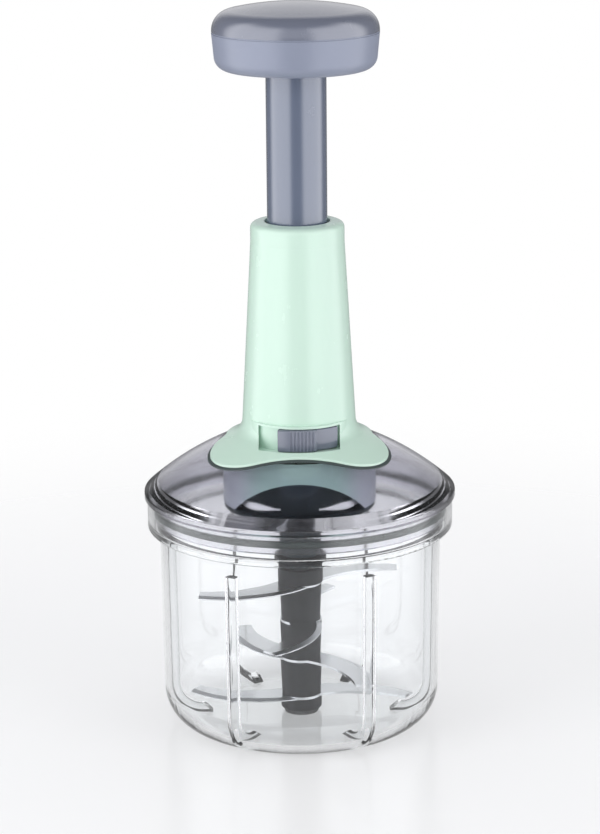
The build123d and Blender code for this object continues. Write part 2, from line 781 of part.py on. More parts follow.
with BuildPart() as tower_shell:
    with BuildSketch(Plane.XZ) as tower_section:
        with BuildLine():
            foot_over = dome_arc(TOWER_BASE_RADIUS, foot_reach, FOOT_LIFT)
            foot_under = dome_arc(DOME_FLAT_RADIUS, foot_reach, FOOT_SEAL)
            Line(foot_over @ 1, foot_under @ 1)
            Polyline(
                foot_under @ 0,
                (spigot_radius, dome_top + FOOT_SEAL),
                (spigot_radius, web_top),
                (spigot_bore, web_top),
                (spigot_bore, spigot_ceiling),
                (ring_bore, spigot_ceiling),
                (ring_bore, recess_top),
                (stop_bore, recess_top),
                (lip_bore, bush_lip_top),
                (bush_radius, bush_lip_top),
                (bush_radius, bush_top),
                (MOUTH_RADIUS, bush_top),
                (MOUTH_RADIUS, tower_top),
                (TOWER_TOP_RADIUS, tower_top - TOWER_CROWN),
                (TOWER_TOP_RADIUS, tower_top - TOWER_STRAIGHT),
                foot_over @ 0,
            )
        make_face()
        fillet(corner(tower_section.vertices(), TOWER_BASE_RADIUS, column_foot), TOWER_FLARE)
        fillet(
            corner(tower_section.vertices(), TOWER_TOP_RADIUS, tower_top - TOWER_CROWN),
            TOWER_ROUND,
        )
        fillet(corner(tower_section.vertices(), MOUTH_RADIUS, tower_top), MOUTH_ROUND)
    revolve(axis=Axis.Z)
    extrude(foot_plan(0), amount=TOWER_HEIGHT + SEAM, mode=Mode.INTERSECT)
    foot_outline = tower_shell.edges().filter_by(
        lambda edge: math.hypot((edge @ 0.5).X, (edge @ 0.5).Y) > foot_round - SEAM
        and abs(
            (edge @ 0.5).Z
            - dome_height(math.hypot((edge @ 0.5).X, (edge @ 0.5).Y))
            - FOOT_LIFT
        ) < SEAM
    )
    fillet(foot_outline, FOOT_EDGE_ROUND)
    add(hood.part)
    with BuildSketch(Plane.XY.offset(recess_base)):
        Circle(recess_reach)
        with Locations((0, -recess_reach)):
            Rectangle(2 * recess_half, 2 * recess_reach, mode=Mode.INTERSECT)
        Circle(RECESS_RADIUS, mode=Mode.SUBTRACT)
    extrude(amount=recess_top - recess_base, mode=Mode.SUBTRACT)
    extrude(
        sector(
            ring_bore - SEAM,
            RECESS_RADIUS + SEAM,
            arm_start - CATCH_TRAVEL_ANGLE - SLOT_MARGIN_ANGLE,
            arm_end + SLOT_MARGIN_ANGLE,
            arm_base - SLOT_GAP,
        ),
        amount=arm_height + 2 * SLOT_GAP,
        mode=Mode.SUBTRACT,
    )
    with BuildSketch(Plane.XY.offset(web_top)):
        with Locations(*bolt_places):
            Circle(BOLT_BOSS_RADIUS)
    extrude(amount=spigot_ceiling + SEAM - web_top)
    with BuildSketch(Plane.XY.offset(web_top)):
        with Locations(*bolt_places):
            Circle(BOLT_RADIUS)
    extrude(amount=BOLT_GRIP + SEAM, mode=Mode.SUBTRACT)
tower_shell.part.label = "tower_shell"
export_step(tower_shell.part, "parts/tower_shell.step")

with BuildPart() as stem_bush:
    revolve(
        turned(
            (bush_bore, bush_base),
            (bush_radius + BUSH_LIP, bush_base),
            (bush_radius + BUSH_LIP, bush_lip_top),
            (bush_radius, bush_lip_top),
            (bush_radius, bush_top),
            (bush_bore, bush_top),
        ),
        axis=Axis.Z,
    )
    key_inner = STEM_RADIUS - KEY_DEPTH + KEY_GAP
    key_outer = bush_bore + BUSH_WALL / 2
    with BuildSketch(Plane.XY.offset(bush_base)):
        with Locations((0, (key_inner + key_outer) / 2)):
            Rectangle(KEY_WIDTH - 2 * KEY_GAP, key_outer - key_inner)
    extrude(amount=bush_top - bush_base)
stem_bush.part.label = "stem_bush"
export_step(stem_bush.part, "parts/stem_bush.step")

# ---------------------------------------------------------------- plunger stem, nut and spring


def lug_notches(level, height):
    """Clearance in the plunger's flanges for the lugs of the catch ring to pass."""
    with BuildPart() as notches:
        for centre in lug_centres:
            extrude(
                sector(
                    lug_inner - LUG_NOTCH_GAP,
                    ring_inner,
                    centre - LUG_ARC / 2 - LUG_NOTCH_MARGIN_ANGLE,
                    centre + LUG_ARC / 2 + LUG_NOTCH_MARGIN_ANGLE,
                    level,
                ),
                amount=height,
            )
    return notches.part


with BuildPart() as plunger_stem:
    revolve(
        turned(
            (stem_bore, stem_base),
            (STEM_FLANGE_RADIUS, stem_base),
            (STEM_FLANGE_RADIUS, flange_top),
            (STEM_RADIUS, flange_top),
            (STEM_RADIUS, stem_top),
            (0, stem_top),
            (0, stem_top - STEM_TOP_WALL),
            (stem_bore, stem_top - STEM_TOP_WALL),
            rounds=(
                (STEM_FLANGE_RADIUS, stem_base, STEM_ROUND),
                (STEM_FLANGE_RADIUS, flange_top, STEM_ROUND),
                (STEM_RADIUS, stem_top, STEM_ROUND),
            ),
        ),
        axis=Axis.Z,
    )
    add(lug_notches(stem_base, STEM_FLANGE), mode=Mode.SUBTRACT)
    with BuildSketch(Plane.XY.offset(flange_top)):
        with Locations((0, STEM_RADIUS)):
            Rectangle(KEY_WIDTH, 2 * KEY_DEPTH)
    extrude(amount=stem_top - flange_top, mode=Mode.SUBTRACT)
    with BuildSketch(Plane.XY.offset(stem_top)):
        Circle(KNOB_SCREW_RADIUS)
    extrude(amount=-STEM_TOP_WALL, mode=Mode.SUBTRACT)
    with BuildSketch(Plane.XY.offset(stem_base)):
        with Locations(*nut_screw_places):
            Circle(NUT_SCREW_RADIUS)
    extrude(amount=NUT_SCREW_LENGTH - NUT_FLANGE, mode=Mode.SUBTRACT)
plunger_stem.part.label = "plunger_stem"
export_step(plunger_stem.part, "parts/plunger_stem.step")

with BuildPart() as drive_nut:
    revolve(
        turned(
            (0, nut_base),
            (NUT_FLANGE_RADIUS, nut_base),
            (NUT_FLANGE_RADIUS, stem_base),
            (stem_bore - NUT_FIT, stem_base),
            (stem_bore - NUT_FIT, nut_top),
            (0, nut_top),
        ),
        axis=Axis.Z,
    )
    add(lug_notches(nut_base, NUT_FLANGE), mode=Mode.SUBTRACT)
    add(twisted(BAR_FIT, nut_base - SEAM, nut_top + SEAM), mode=Mode.SUBTRACT)
    with BuildSketch(Plane.XY.offset(nut_base)):
        with Locations(*nut_screw_places):
            Circle(NUT_SCREW_RADIUS)
    extrude(amount=NUT_FLANGE, mode=Mode.SUBTRACT)
    with BuildSketch(Plane.XY.offset(nut_base)):
        with Locations(*nut_screw_places):
            Circle(NUT_SCREW_HEAD_RADIUS)
    extrude(amount=NUT_SCREW_HEAD, mode=Mode.SUBTRACT)
drive_nut.part.label = "drive_nut"
export_step(drive_nut.part, "parts/drive_nut.step")

with BuildPart() as nut_screws:
    with BuildSketch(Plane.XY.offset(nut_base)):
        with Locations(*nut_screw_places):
            Circle(NUT_SCREW_HEAD_RADIUS)
    extrude(amount=NUT_SCREW_HEAD)
    with BuildSketch(Plane.XY.offset(nut_base)):
        with Locations(*nut_screw_places):
            Circle(NUT_SCREW_RADIUS)
    extrude(amount=NUT_SCREW_LENGTH)
nut_screws.part.label = "nut_screws"
export_step(nut_screws.part, "parts/nut_screws.step")

coil_height = nut_base - seat_top - SPRING_WIRE
with BuildPart() as return_spring:
    with BuildLine() as coil:
        Helix(
            pitch=coil_height / SPRING_TURNS,
            height=coil_height,
            radius=SPRING_RADIUS,
            center=(0, 0, seat_top + SPRING_WIRE / 2),
        )
    with BuildSketch(Plane(origin=coil.line @ 0, z_dir=coil.line % 0)):
        Circle(SPRING_WIRE / 2)
    sweep(path=coil.line)
return_spring.part.label = "return_spring"
export_step(return_spring.part, "parts/return_spring.step")

# ---------------------------------------------------------------- palm knob

with BuildPart() as knob_body:
    revolve(
        turned(
            (STEM_RADIUS, knob_base),
            (KNOB_RADIUS - KNOB_LEAN, knob_base),
            (KNOB_RADIUS, knob_seam),
            (KNOB_RADIUS - KNOB_WALL, knob_seam),
            (KNOB_RADIUS - KNOB_LEAN - KNOB_WALL, knob_base + KNOB_WALL),
            (STEM_RADIUS + KNOB_WALL, knob_base + KNOB_WALL),
            (STEM_RADIUS + KNOB_WALL, knob_web_top),
            (0, knob_web_top),
            (0, stem_top),
            (STEM_RADIUS, stem_top),
            rounds=(
                (KNOB_RADIUS - KNOB_LEAN, knob_base, KNOB_LOWER_ROUND),
                (
                    KNOB_RADIUS - KNOB_LEAN - KNOB_WALL,
                    knob_base + KNOB_WALL,
                    KNOB_LOWER_ROUND - KNOB_WALL,
                ),
                (STEM_RADIUS, knob_base, KNOB_LIP_ROUND),
            ),
        ),
        axis=Axis.Z,
    )
    with BuildSketch(Plane.XY.offset(stem_top)):
        Circle(KNOB_SCREW_RADIUS + BOLT_CLEARANCE)
    extrude(amount=KNOB_WEB, mode=Mode.SUBTRACT)
knob_body.part.label = "knob_body"
export_step(knob_body.part, "parts/knob_body.step")

knob_spigot_radius = KNOB_RADIUS - KNOB_WALL - KNOB_SPIGOT_GAP
shoulder_level = cap_base + KNOB_CAP_SIDE

with BuildPart() as knob_cap:
    with BuildSketch(Plane.XZ) as cap_section:
        with BuildLine():
            over = TangentArc(
                (0, knob_crown), (KNOB_RADIUS - KNOB_SHOULDER_INSET, shoulder_level), tangent=(1, 0)
            )
            under = TangentArc(
                (0, knob_crown - KNOB_WALL),
                (KNOB_RADIUS - KNOB_SHOULDER_INSET - KNOB_WALL, shoulder_level - KNOB_WALL),
                tangent=(1, 0),
            )
            Polyline(
                over @ 1,
                (KNOB_RADIUS, cap_base),
                (KNOB_RADIUS - KNOB_WALL, cap_base),
                under @ 1,
            )
            Line(under @ 0, over @ 0)
        make_face()
        fillet(
            corner(cap_section.vertices(), KNOB_RADIUS - KNOB_SHOULDER_INSET, shoulder_level),
            KNOB_SHOULDER,
        )
    revolve(axis=Axis.Z)
    revolve(
        turned(
            (knob_spigot_radius - KNOB_SPIGOT_WALL, knob_seam - KNOB_SPIGOT_DEPTH),
            (knob_spigot_radius, knob_seam - KNOB_SPIGOT_DEPTH),
            (knob_spigot_radius, cap_base),
            (KNOB_RADIUS - KNOB_WALL / 2, cap_base),
            (KNOB_RADIUS - KNOB_WALL / 2, cap_base + KNOB_SPIGOT_WALL),
            (knob_spigot_radius - KNOB_SPIGOT_WALL, cap_base + KNOB_SPIGOT_WALL),
        ),
        axis=Axis.Z,
    )
    revolve(
        ring(
            KNOB_POST_RADIUS - KNOB_POST_WALL,
            KNOB_POST_RADIUS,
            knob_web_top,
            knob_crown - KNOB_WALL / 2 - KNOB_POST_WALL / 2,
        ),
        axis=Axis.Z,
    )
knob_cap.part.label = "knob_cap"
export_step(knob_cap.part, "parts/knob_cap.step")

with BuildPart() as knob_washer:
    revolve(
        ring(
            KNOB_SCREW_RADIUS + BOLT_CLEARANCE,
            KNOB_WASHER_RADIUS,
            knob_web_top,
            knob_web_top + KNOB_WASHER,
        ),
        axis=Axis.Z,
    )
knob_washer.part.label = "knob_washer"
export_step(knob_washer.part, "parts/knob_washer.step")

knob_screw_seat = knob_web_top + KNOB_WASHER
with BuildPart() as knob_screw:
    revolve(
        turned(
            (0, knob_screw_seat - KNOB_SCREW_LENGTH),
            (KNOB_SCREW_RADIUS, knob_screw_seat - KNOB_SCREW_LENGTH),
            (KNOB_SCREW_RADIUS, knob_screw_seat),
            (KNOB_SCREW_HEAD_RADIUS, knob_screw_seat),
            (KNOB_SCREW_HEAD_RADIUS, knob_screw_seat + KNOB_SCREW_HEAD),
            (0, knob_screw_seat + KNOB_SCREW_HEAD),
        ),
        axis=Axis.Z,
    )
knob_screw.part.label = "knob_screw"
export_step(knob_screw.part, "parts/knob_screw.step")

# ---------------------------------------------------------------- catch

with BuildPart() as catch_ring:
    revolve(ring(ring_inner, CATCH_RING_RADIUS, catch_base, catch_top), axis=Axis.Z)
    for centre in lug_centres:
        extrude(
            sector(
                lug_inner,
                ring_inner + SEAM,
                centre - LUG_ARC / 2,
                centre + LUG_ARC / 2,
                lug_base,
            ),
            amount=LUG_HEIGHT,
        )
    extrude(
        sector(CATCH_RING_RADIUS - SEAM, pad_inner + ARM_REACH, arm_start, arm_end, arm_base),
        amount=arm_height,
    )
catch_ring.part.label = "catch_ring"
export_step(catch_ring.part, "parts/catch_ring.step")

with BuildPart() as catch_pad:
    extrude(
        sector(pad_inner, pad_inner + PAD_PLATE, PAD_START_ANGLE, PAD_END_ANGLE, catch_base),
        amount=CATCH_HEIGHT,
    )
    extrude(
        sector(pad_inner, pad_outer, PAD_START_ANGLE, PAD_GRIP_END_ANGLE, catch_base),
        amount=CATCH_HEIGHT,
    )
    grip_edges = catch_pad.edges().filter_by(
        lambda edge: math.hypot((edge @ 0.5).X, (edge @ 0.5).Y) > pad_outer - SEAM
    )
    fillet(grip_edges, PAD_ROUND)
    for number in range(PAD_GROOVE_COUNT):
        groove_start = PAD_GROOVE_START_ANGLE + PAD_GROOVE_STEP_ANGLE * number
        extrude(
            sector(
                pad_outer - PAD_GROOVE_DEPTH,
                pad_outer + SEAM,
                groove_start,
                groove_start + PAD_GROOVE_ARC,
                catch_base,
            ),
            amount=CATCH_HEIGHT,
            mode=Mode.SUBTRACT,
        )
    extrude(
        sector(pad_inner, pad_inner + ARM_REACH, arm_start, arm_end, arm_base),
        amount=arm_height,
        mode=Mode.SUBTRACT,
    )
catch_pad.part.label = "catch_pad"
export_step(catch_pad.part, "parts/catch_pad.step")

# ---------------------------------------------------------------- twisted bar and one-way clutch

pawl_middle = pawl_base + PAWL_HEIGHT / 2
driver_pin_half = PAWL_HUB_RADIUS - DRIVER_PIN_INSET

with BuildPart() as drive_screw:
    add(twisted(0, bar_base, bar_top))
    revolve(
        turned(
            (0, pawl_base),
            (JOURNAL_RADIUS, pawl_base),
            (JOURNAL_RADIUS, bar_collar_base),
            (BAR_COLLAR_RADIUS, bar_collar_base),
            (BAR_COLLAR_RADIUS, bar_base),
            (0, bar_base),
        ),
        axis=Axis.Z,
    )
    with BuildSketch(Plane.YZ):
        with Locations((0, pawl_middle)):
            Circle(DRIVER_PIN_RADIUS)
    extrude(amount=driver_pin_half, both=True, mode=Mode.SUBTRACT)
drive_screw.part.label = "drive_screw"
export_step(drive_screw.part, "parts/drive_screw.step")

tooth_pitch = 360 / RATCHET_TEETH
tooth_tip = ratchet_bore - RATCHET_TOOTH
pawl_heel = math.radians(PAWL_TIP_ARC + PAWL_GAP_ANGLE)
flank_width = tooth_tip * math.sin(math.radians(tooth_pitch) - pawl_heel)
flank_depth = ratchet_bore * math.sin(pawl_heel)
flank_area = tooth_tip * ratchet_bore * math.sin(math.radians(tooth_pitch))
tip_radius = flank_area / (flank_width + flank_depth) - PAWL_CLEAR

with BuildPart() as pawl_disc:
    revolve(ring(JOURNAL_RADIUS, PAWL_HUB_RADIUS, pawl_base, pawl_top), axis=Axis.Z)
    for number in range(PAWL_COUNT):
        pawl_end = 360 / PAWL_COUNT * number - PAWL_GAP_ANGLE
        pawl_start = pawl_end - PAWL_SWEEP_ANGLE
        with BuildSketch(Plane.XY.offset(pawl_base)):
            add(
                sector(
                    PAWL_HUB_RADIUS - SEAM,
                    PAWL_RADIUS,
                    pawl_start,
                    pawl_start + PAWL_ROOT_ARC,
                    0,
                )
            )
            add(sector(PAWL_RADIUS - PAWL_THICKNESS, PAWL_RADIUS, pawl_start, pawl_end, 0))
            add(
                sector(
                    PAWL_RADIUS - PAWL_THICKNESS,
                    tip_radius,
                    pawl_end - PAWL_TIP_ARC,
                    pawl_end,
                    0,
                )
            )
        extrude(amount=PAWL_HEIGHT)
    with BuildSketch(Plane.YZ):
        with Locations((0, pawl_middle)):
            Circle(DRIVER_PIN_RADIUS)
    extrude(amount=driver_pin_half, both=True, mode=Mode.SUBTRACT)
pawl_disc.part.label = "pawl_disc"
export_step(pawl_disc.part, "parts/pawl_disc.step")

with BuildPart() as driver_pin:
    with BuildSketch(Plane.YZ):
        with Locations((0, pawl_middle)):
            Circle(DRIVER_PIN_RADIUS)
    extrude(amount=driver_pin_half, both=True)
driver_pin.part.label = "driver_pin"
export_step(driver_pin.part, "parts/driver_pin.step")

with BuildPart() as ratchet_drum:
    revolve(
        turned(
            (SHAFT_RADIUS, ratchet_base),
            (RATCHET_RADIUS, ratchet_base),
            (RATCHET_RADIUS, ratchet_top),
            (ratchet_bore, ratchet_top),
            (ratchet_bore, ratchet_floor),
            (SHAFT_RADIUS, ratchet_floor),
        ),
        axis=Axis.Z,
    )
    tooth_root = ratchet_bore + RATCHET_WALL / 2
    tooth_end = math.radians(tooth_pitch)
    with BuildSketch(Plane.XY.offset(ratchet_floor)):
        with PolarLocations(0, RATCHET_TEETH, start_angle=FRONT_ANGLE):
            Polygon(
                (tooth_tip, 0),
                (tooth_root, 0),
                (tooth_root * math.cos(tooth_end), tooth_root * math.sin(tooth_end)),
                (ratchet_bore * math.cos(tooth_end), ratchet_bore * math.sin(tooth_end)),
                align=None,
            )
    extrude(amount=ratchet_top - ratchet_floor)
ratchet_drum.part.label = "ratchet_drum"
export_step(ratchet_drum.part, "parts/ratchet_drum.step")

# ---------------------------------------------------------------- output shaft and coupling

with BuildPart() as output_shaft:
    revolve(
        turned(
            (0, shaft_base),
            (SHAFT_RADIUS, shaft_base),
            (SHAFT_RADIUS, ratchet_floor),
            (SHAFT_HEAD_RADIUS, ratchet_floor),
            (SHAFT_HEAD_RADIUS, shaft_head_top),
            (0, shaft_head_top),
        ),
        axis=Axis.Z,
    )
    with BuildSketch(Plane.XY.offset(shaft_base)):
        Circle(TIP_SCREW_RADIUS)
    extrude(amount=TIP_SCREW_GRIP, mode=Mode.SUBTRACT)
output_shaft.part.label = "output_shaft"
export_step(output_shaft.part, "parts/output_shaft.step")

with BuildPart() as drive_coupling:
    revolve(
        turned(
            (0, skirt_base),
            (COUPLING_SKIRT_RADIUS, skirt_base),
            (COUPLING_SKIRT_RADIUS, skirt_top),
            (COUPLING_COLLAR_RADIUS, skirt_top),
            (COUPLING_COLLAR_RADIUS, collar_top),
            (SHAFT_RADIUS, collar_top),
            (SHAFT_RADIUS, shaft_base),
            (0, shaft_base),
        ),
        axis=Axis.Z,
    )
    with BuildSketch(Plane.XY.offset(tip_base)):
        RegularPolygon(TIP_FLATS / 2, 6, major_radius=False)
    extrude(amount=TIP_LENGTH)
    with BuildSketch(Plane.XY.offset(tip_base)):
        Circle(TIP_SCREW_RADIUS)
    extrude(amount=shaft_base - tip_base, mode=Mode.SUBTRACT)
    with BuildSketch(Plane.XY.offset(tip_base)):
        Circle(TIP_SCREW_HEAD_RADIUS)
    extrude(amount=TIP_SCREW_HEAD, mode=Mode.SUBTRACT)
drive_coupling.part.label = "drive_coupling"
export_step(drive_coupling.part, "parts/drive_coupling.step")

with BuildPart() as coupling_screw:
    with BuildSketch(Plane.XY.offset(tip_base)):
        Circle(TIP_SCREW_HEAD_RADIUS)
    extrude(amount=TIP_SCREW_HEAD)
    with BuildSketch(Plane.XY.offset(tip_base)):
        Circle(TIP_SCREW_RADIUS)
    extrude(amount=shaft_base + TIP_SCREW_GRIP - tip_base)
coupling_screw.part.label = "coupling_screw"
export_step(coupling_screw.part, "parts/coupling_screw.step")

# ---------------------------------------------------------------- drive housing, drum and bearings

with BuildPart() as drive_housing:
    revolve(
        turned(
            (NECK_BUSH_RADIUS, neck_base),
            (NECK_RADIUS, neck_base),
            (NECK_RADIUS, housing_base),
            (FLANGE_RADIUS, housing_base),
            (FLANGE_RADIUS, housing_floor),
            (HOUSING_RADIUS, housing_floor),
            (HOUSING_RADIUS, housing_top),
            (HOUSING_RADIUS - HOUSING_WALL, housing_top),
            (HOUSING_RADIUS - HOUSING_WALL, housing_floor),
            (NECK_BUSH_RADIUS, housing_floor),
            rounds=(
                (NECK_RADIUS, housing_base, NECK_ROUND),
                (FLANGE_RADIUS, housing_base, FLANGE_ROUND),
                (FLANGE_RADIUS, housing_floor, FLANGE_ROUND),
            ),
        ),
        axis=Axis.Z,
    )
    with BuildSketch(Plane.XY.offset(housing_floor)):
        with Locations(*bolt_places):
            Circle(BOLT_BOSS_RADIUS)
    extrude(amount=HOUSING_DEPTH)
    with BuildSketch(Plane.XY.offset(housing_base)):
        with Locations(*bolt_places):
            Circle(BOLT_RADIUS + BOLT_CLEARANCE)
    extrude(amount=housing_top - housing_base, mode=Mode.SUBTRACT)
    with BuildSketch(Plane.XY.offset(housing_base)):
        with Locations(*bolt_places):
            Circle(BOLT_HEAD_RADIUS + BOLT_CLEARANCE)
    extrude(amount=BOLT_HEAD, mode=Mode.SUBTRACT)
drive_housing.part.label = "drive_housing"
export_step(drive_housing.part, "parts/drive_housing.step")

with BuildPart() as housing_cap:
    revolve(
        turned(
            (screw_bush_radius, cap_hub_base),
            (CAP_HUB_RADIUS, cap_hub_base),
            (CAP_HUB_RADIUS, housing_top),
            (HOUSING_RADIUS, housing_top),
            (HOUSING_RADIUS, housing_cap_top),
            (CATCH_RING_RADIUS, housing_cap_top),
            (CATCH_RING_RADIUS, catch_base - CATCH_GAP),
            (CATCH_RING_RADIUS - CAP_RING_WALL, catch_base - CATCH_GAP),
            (CATCH_RING_RADIUS - CAP_RING_WALL, housing_cap_top),
            (screw_bush_radius, housing_cap_top),
        ),
        axis=Axis.Z,
    )
    with BuildSketch(Plane.XY.offset(housing_top)):
        with Locations(*bolt_places):
            Circle(BOLT_RADIUS + BOLT_CLEARANCE)
    extrude(amount=CAP_SKIN, mode=Mode.SUBTRACT)
housing_cap.part.label = "housing_cap"
export_step(housing_cap.part, "parts/housing_cap.step")

with BuildPart() as drum_collar:
    with BuildSketch(Plane.XZ):
        Polygon(
            (drum_bore, housing_floor),
            (DRUM_RADIUS, housing_floor),
            (DRUM_RADIUS, dome_top - DOME_SKIN),
            (drum_bore, dome_top - DOME_SKIN),
            (drum_bore, web_top),
            (ring_bore, web_top),
            (ring_bore, housing_cap_top),
            (drum_bore, housing_cap_top),
            align=None,
        )
    revolve(axis=Axis.Z)
    with BuildSketch(Plane.XZ):
        with BuildLine():
            arch = ThreePointArc(
                (-WINDOW_WIDTH / 2, housing_floor),
                (0, housing_floor + WINDOW_HEIGHT),
                (WINDOW_WIDTH / 2, housing_floor),
            )
            Line(arch @ 1, arch @ 0)
        make_face()
    extrude(amount=DRUM_RADIUS, both=True, mode=Mode.SUBTRACT)
    with BuildSketch(Plane.XY.offset(housing_cap_top)):
        with Locations(*bolt_places):
            Circle(BOLT_RADIUS + BOLT_CLEARANCE)
    extrude(amount=DRUM_WEB, mode=Mode.SUBTRACT)
drum_collar.part.label = "drum_collar"
export_step(drum_collar.part, "parts/drum_collar.step")

with BuildPart() as housing_screws:
    with BuildSketch(Plane.XY.offset(housing_base)):
        with Locations(*bolt_places):
            Circle(BOLT_HEAD_RADIUS)
    extrude(amount=BOLT_HEAD)
    with BuildSketch(Plane.XY.offset(housing_base)):
        with Locations(*bolt_places):
            Circle(BOLT_RADIUS)
    extrude(amount=web_top + BOLT_GRIP - housing_base)
    with BuildSketch(Plane.XY.offset(housing_base)):
        with Locations(*bolt_places):
            Rectangle(BOLT_SLOT_LENGTH, BOLT_SLOT_WIDTH)
            Rectangle(BOLT_SLOT_WIDTH, BOLT_SLOT_LENGTH)
    extrude(amount=BOLT_SLOT_DEPTH, mode=Mode.SUBTRACT)
housing_screws.part.label = "housing_screws"
export_step(housing_screws.part, "parts/housing_screws.step")

with BuildPart() as screw_bush:
    revolve(
        ring(JOURNAL_RADIUS + JOURNAL_FIT, screw_bush_radius, cap_hub_base, housing_cap_top),
        axis=Axis.Z,
    )
screw_bush.part.label = "screw_bush"
export_step(screw_bush.part, "parts/screw_bush.step")

with BuildPart() as thrust_washer:
    revolve(
        ring(JOURNAL_RADIUS + CATCH_GAP, THRUST_WASHER_RADIUS, housing_cap_top, seat_top),
        axis=Axis.Z,
    )
thrust_washer.part.label = "thrust_washer"
export_step(thrust_washer.part, "parts/thrust_washer.step")

with BuildPart() as spring_washer:
    revolve(
        ring(
            SPRING_RADIUS - SPRING_WASHER_WIDTH / 2,
            SPRING_RADIUS + SPRING_WASHER_WIDTH / 2,
            housing_cap_top,
            seat_top,
        ),
        axis=Axis.Z,
    )
spring_washer.part.label = "spring_washer"
export_step(spring_washer.part, "parts/spring_washer.step")

with BuildPart() as neck_bushes:
    for bush_level in (neck_base, housing_floor - NECK_BUSH_LENGTH):
        revolve(
            ring(
                SHAFT_RADIUS + SHAFT_FIT,
                NECK_BUSH_RADIUS,
                bush_level,
                bush_level + NECK_BUSH_LENGTH,
            ),
            axis=Axis.Z,
        )
neck_bushes.part.label = "neck_bushes"
export_step(neck_bushes.part, "parts/neck_bushes.step")
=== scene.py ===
"""Looks of a plunger food chopper: its finishes, the few pieces made finer here and a studio.

Sizes in the dataclasses are millimetres and become metres when a mesh is built. The origin is the
centre of the bowl's flat underside, +Z is up and -Y is the front, where the catch is.
"""

import logging
import math
from dataclasses import dataclass, field
from enum import Enum
from typing import Sequence

import bmesh
import bpy
from mathutils import Matrix, Vector


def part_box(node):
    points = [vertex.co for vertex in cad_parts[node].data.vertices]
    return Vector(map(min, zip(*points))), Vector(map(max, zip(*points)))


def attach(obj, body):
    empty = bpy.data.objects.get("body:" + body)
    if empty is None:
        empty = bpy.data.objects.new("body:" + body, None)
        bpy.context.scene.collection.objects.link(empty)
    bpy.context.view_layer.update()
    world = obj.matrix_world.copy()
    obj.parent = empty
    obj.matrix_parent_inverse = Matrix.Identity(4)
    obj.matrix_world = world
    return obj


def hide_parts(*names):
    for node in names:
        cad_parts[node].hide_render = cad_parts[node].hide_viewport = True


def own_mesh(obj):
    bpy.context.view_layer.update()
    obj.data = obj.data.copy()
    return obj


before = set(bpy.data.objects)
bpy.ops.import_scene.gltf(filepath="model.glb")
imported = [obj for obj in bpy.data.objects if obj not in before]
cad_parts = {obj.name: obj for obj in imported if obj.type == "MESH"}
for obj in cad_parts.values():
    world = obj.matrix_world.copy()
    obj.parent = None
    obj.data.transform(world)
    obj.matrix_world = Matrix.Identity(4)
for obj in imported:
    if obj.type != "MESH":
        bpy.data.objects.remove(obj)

LOG = logging.getLogger("chopper")
MM = 0.001
WELD_DISTANCE = 1e-6
CREASE_ANGLE = 40.0
STRAIGHT_TURN = 1e-4

Colour = tuple[float, float, float]
Place = tuple[float, float, float]
Corner = tuple[float, float, float]
Point = tuple[float, float]
Pair = tuple[float, float]
Socket = bpy.types.NodeSocket
Level = float | Socket
Value = float | str | tuple[float, ...] | Socket

WHITE: Colour = (1.0, 1.0, 1.0)


# ------------------------------------------------------------------ node trees


class NodeTree:
    """A short way to write nodes: each step takes numbers or sockets and gives a socket."""

    def __init__(self, holder: bpy.types.Material | bpy.types.World) -> None:
        """Empties the nodes of a material or a world.

        Args:
            holder: The material or the world.
        """
        holder.use_nodes = True
        self.tree = holder.node_tree
        self.tree.nodes.clear()

    def feed(self, socket: Socket, value: Value) -> None:
        """Gives an input its value.

        Args:
            socket: The input.
            value: A number, a colour, a vector or the output of another node.
        """
        if isinstance(value, Socket):
            self.tree.links.new(value, socket)
        elif socket.type == "RGBA":
            socket.default_value = (*value, 1.0)
        else:
            socket.default_value = value

    def put(self, node: bpy.types.Node, **values: Value) -> None:
        """Fills inputs and settings of a node.

        Args:
            node: The node.
            values: Each value, by the name of its input with spaces written as underscores, or
                by the name of a setting.
        """
        for key, value in values.items():
            socket = node.inputs.get(key.replace("_", " "))
            if socket is None:
                setattr(node, key, value)
            else:
                self.feed(socket, value)

    def add(self, kind: str, **values: Value) -> bpy.types.Node:
        """Adds a node.

        Args:
            kind: Blender's name for the kind of node.
            values: Its inputs and settings, as for put.

        Returns:
            The new node.
        """
        node = self.tree.nodes.new(kind)
        self.put(node, **values)
        return node

    def work_out(self, operation: str, *values: Level) -> Socket:
        """Adds one step of arithmetic.

        Args:
            operation: Blender's name for it.
            values: Its inputs in order.

        Returns:
            The result.
        """
        node = self.add("ShaderNodeMath", operation=operation)
        for socket, value in zip(node.inputs, values):
            self.feed(socket, value)
        return node.outputs[0]

    def step(self, value: Socket, low: float, high: float) -> Socket:
        """Adds a smooth step.

        Args:
            value: What is measured.
            low: Value up to which the step is 0.
            high: Value from which it is 1.

        Returns:
            The step.
        """
        node = self.add(
            "ShaderNodeMapRange",
            interpolation_type="SMOOTHSTEP",
            Value=value,
            From_Min=low,
            From_Max=high,
        )
        return node.outputs["Result"]

    def blend(self, factor: Socket, low: Socket, high: Socket) -> Socket:
        """Blends two shaders or lights.

        Args:
            factor: How far the blend has gone, from 0 to 1.
            low: What shows at 0.
            high: What shows at 1.

        Returns:
            The blend.
        """
        node = self.add("ShaderNodeMixShader")
        for socket, value in zip(node.inputs, (factor, low, high)):
            self.feed(socket, value)
        return node.outputs[0]

    def light(self, colour: Colour, strength: Level) -> Socket:
        """Gives a light of one colour for the surroundings."""
        return self.add("ShaderNodeBackground", Color=colour, Strength=strength).outputs[0]


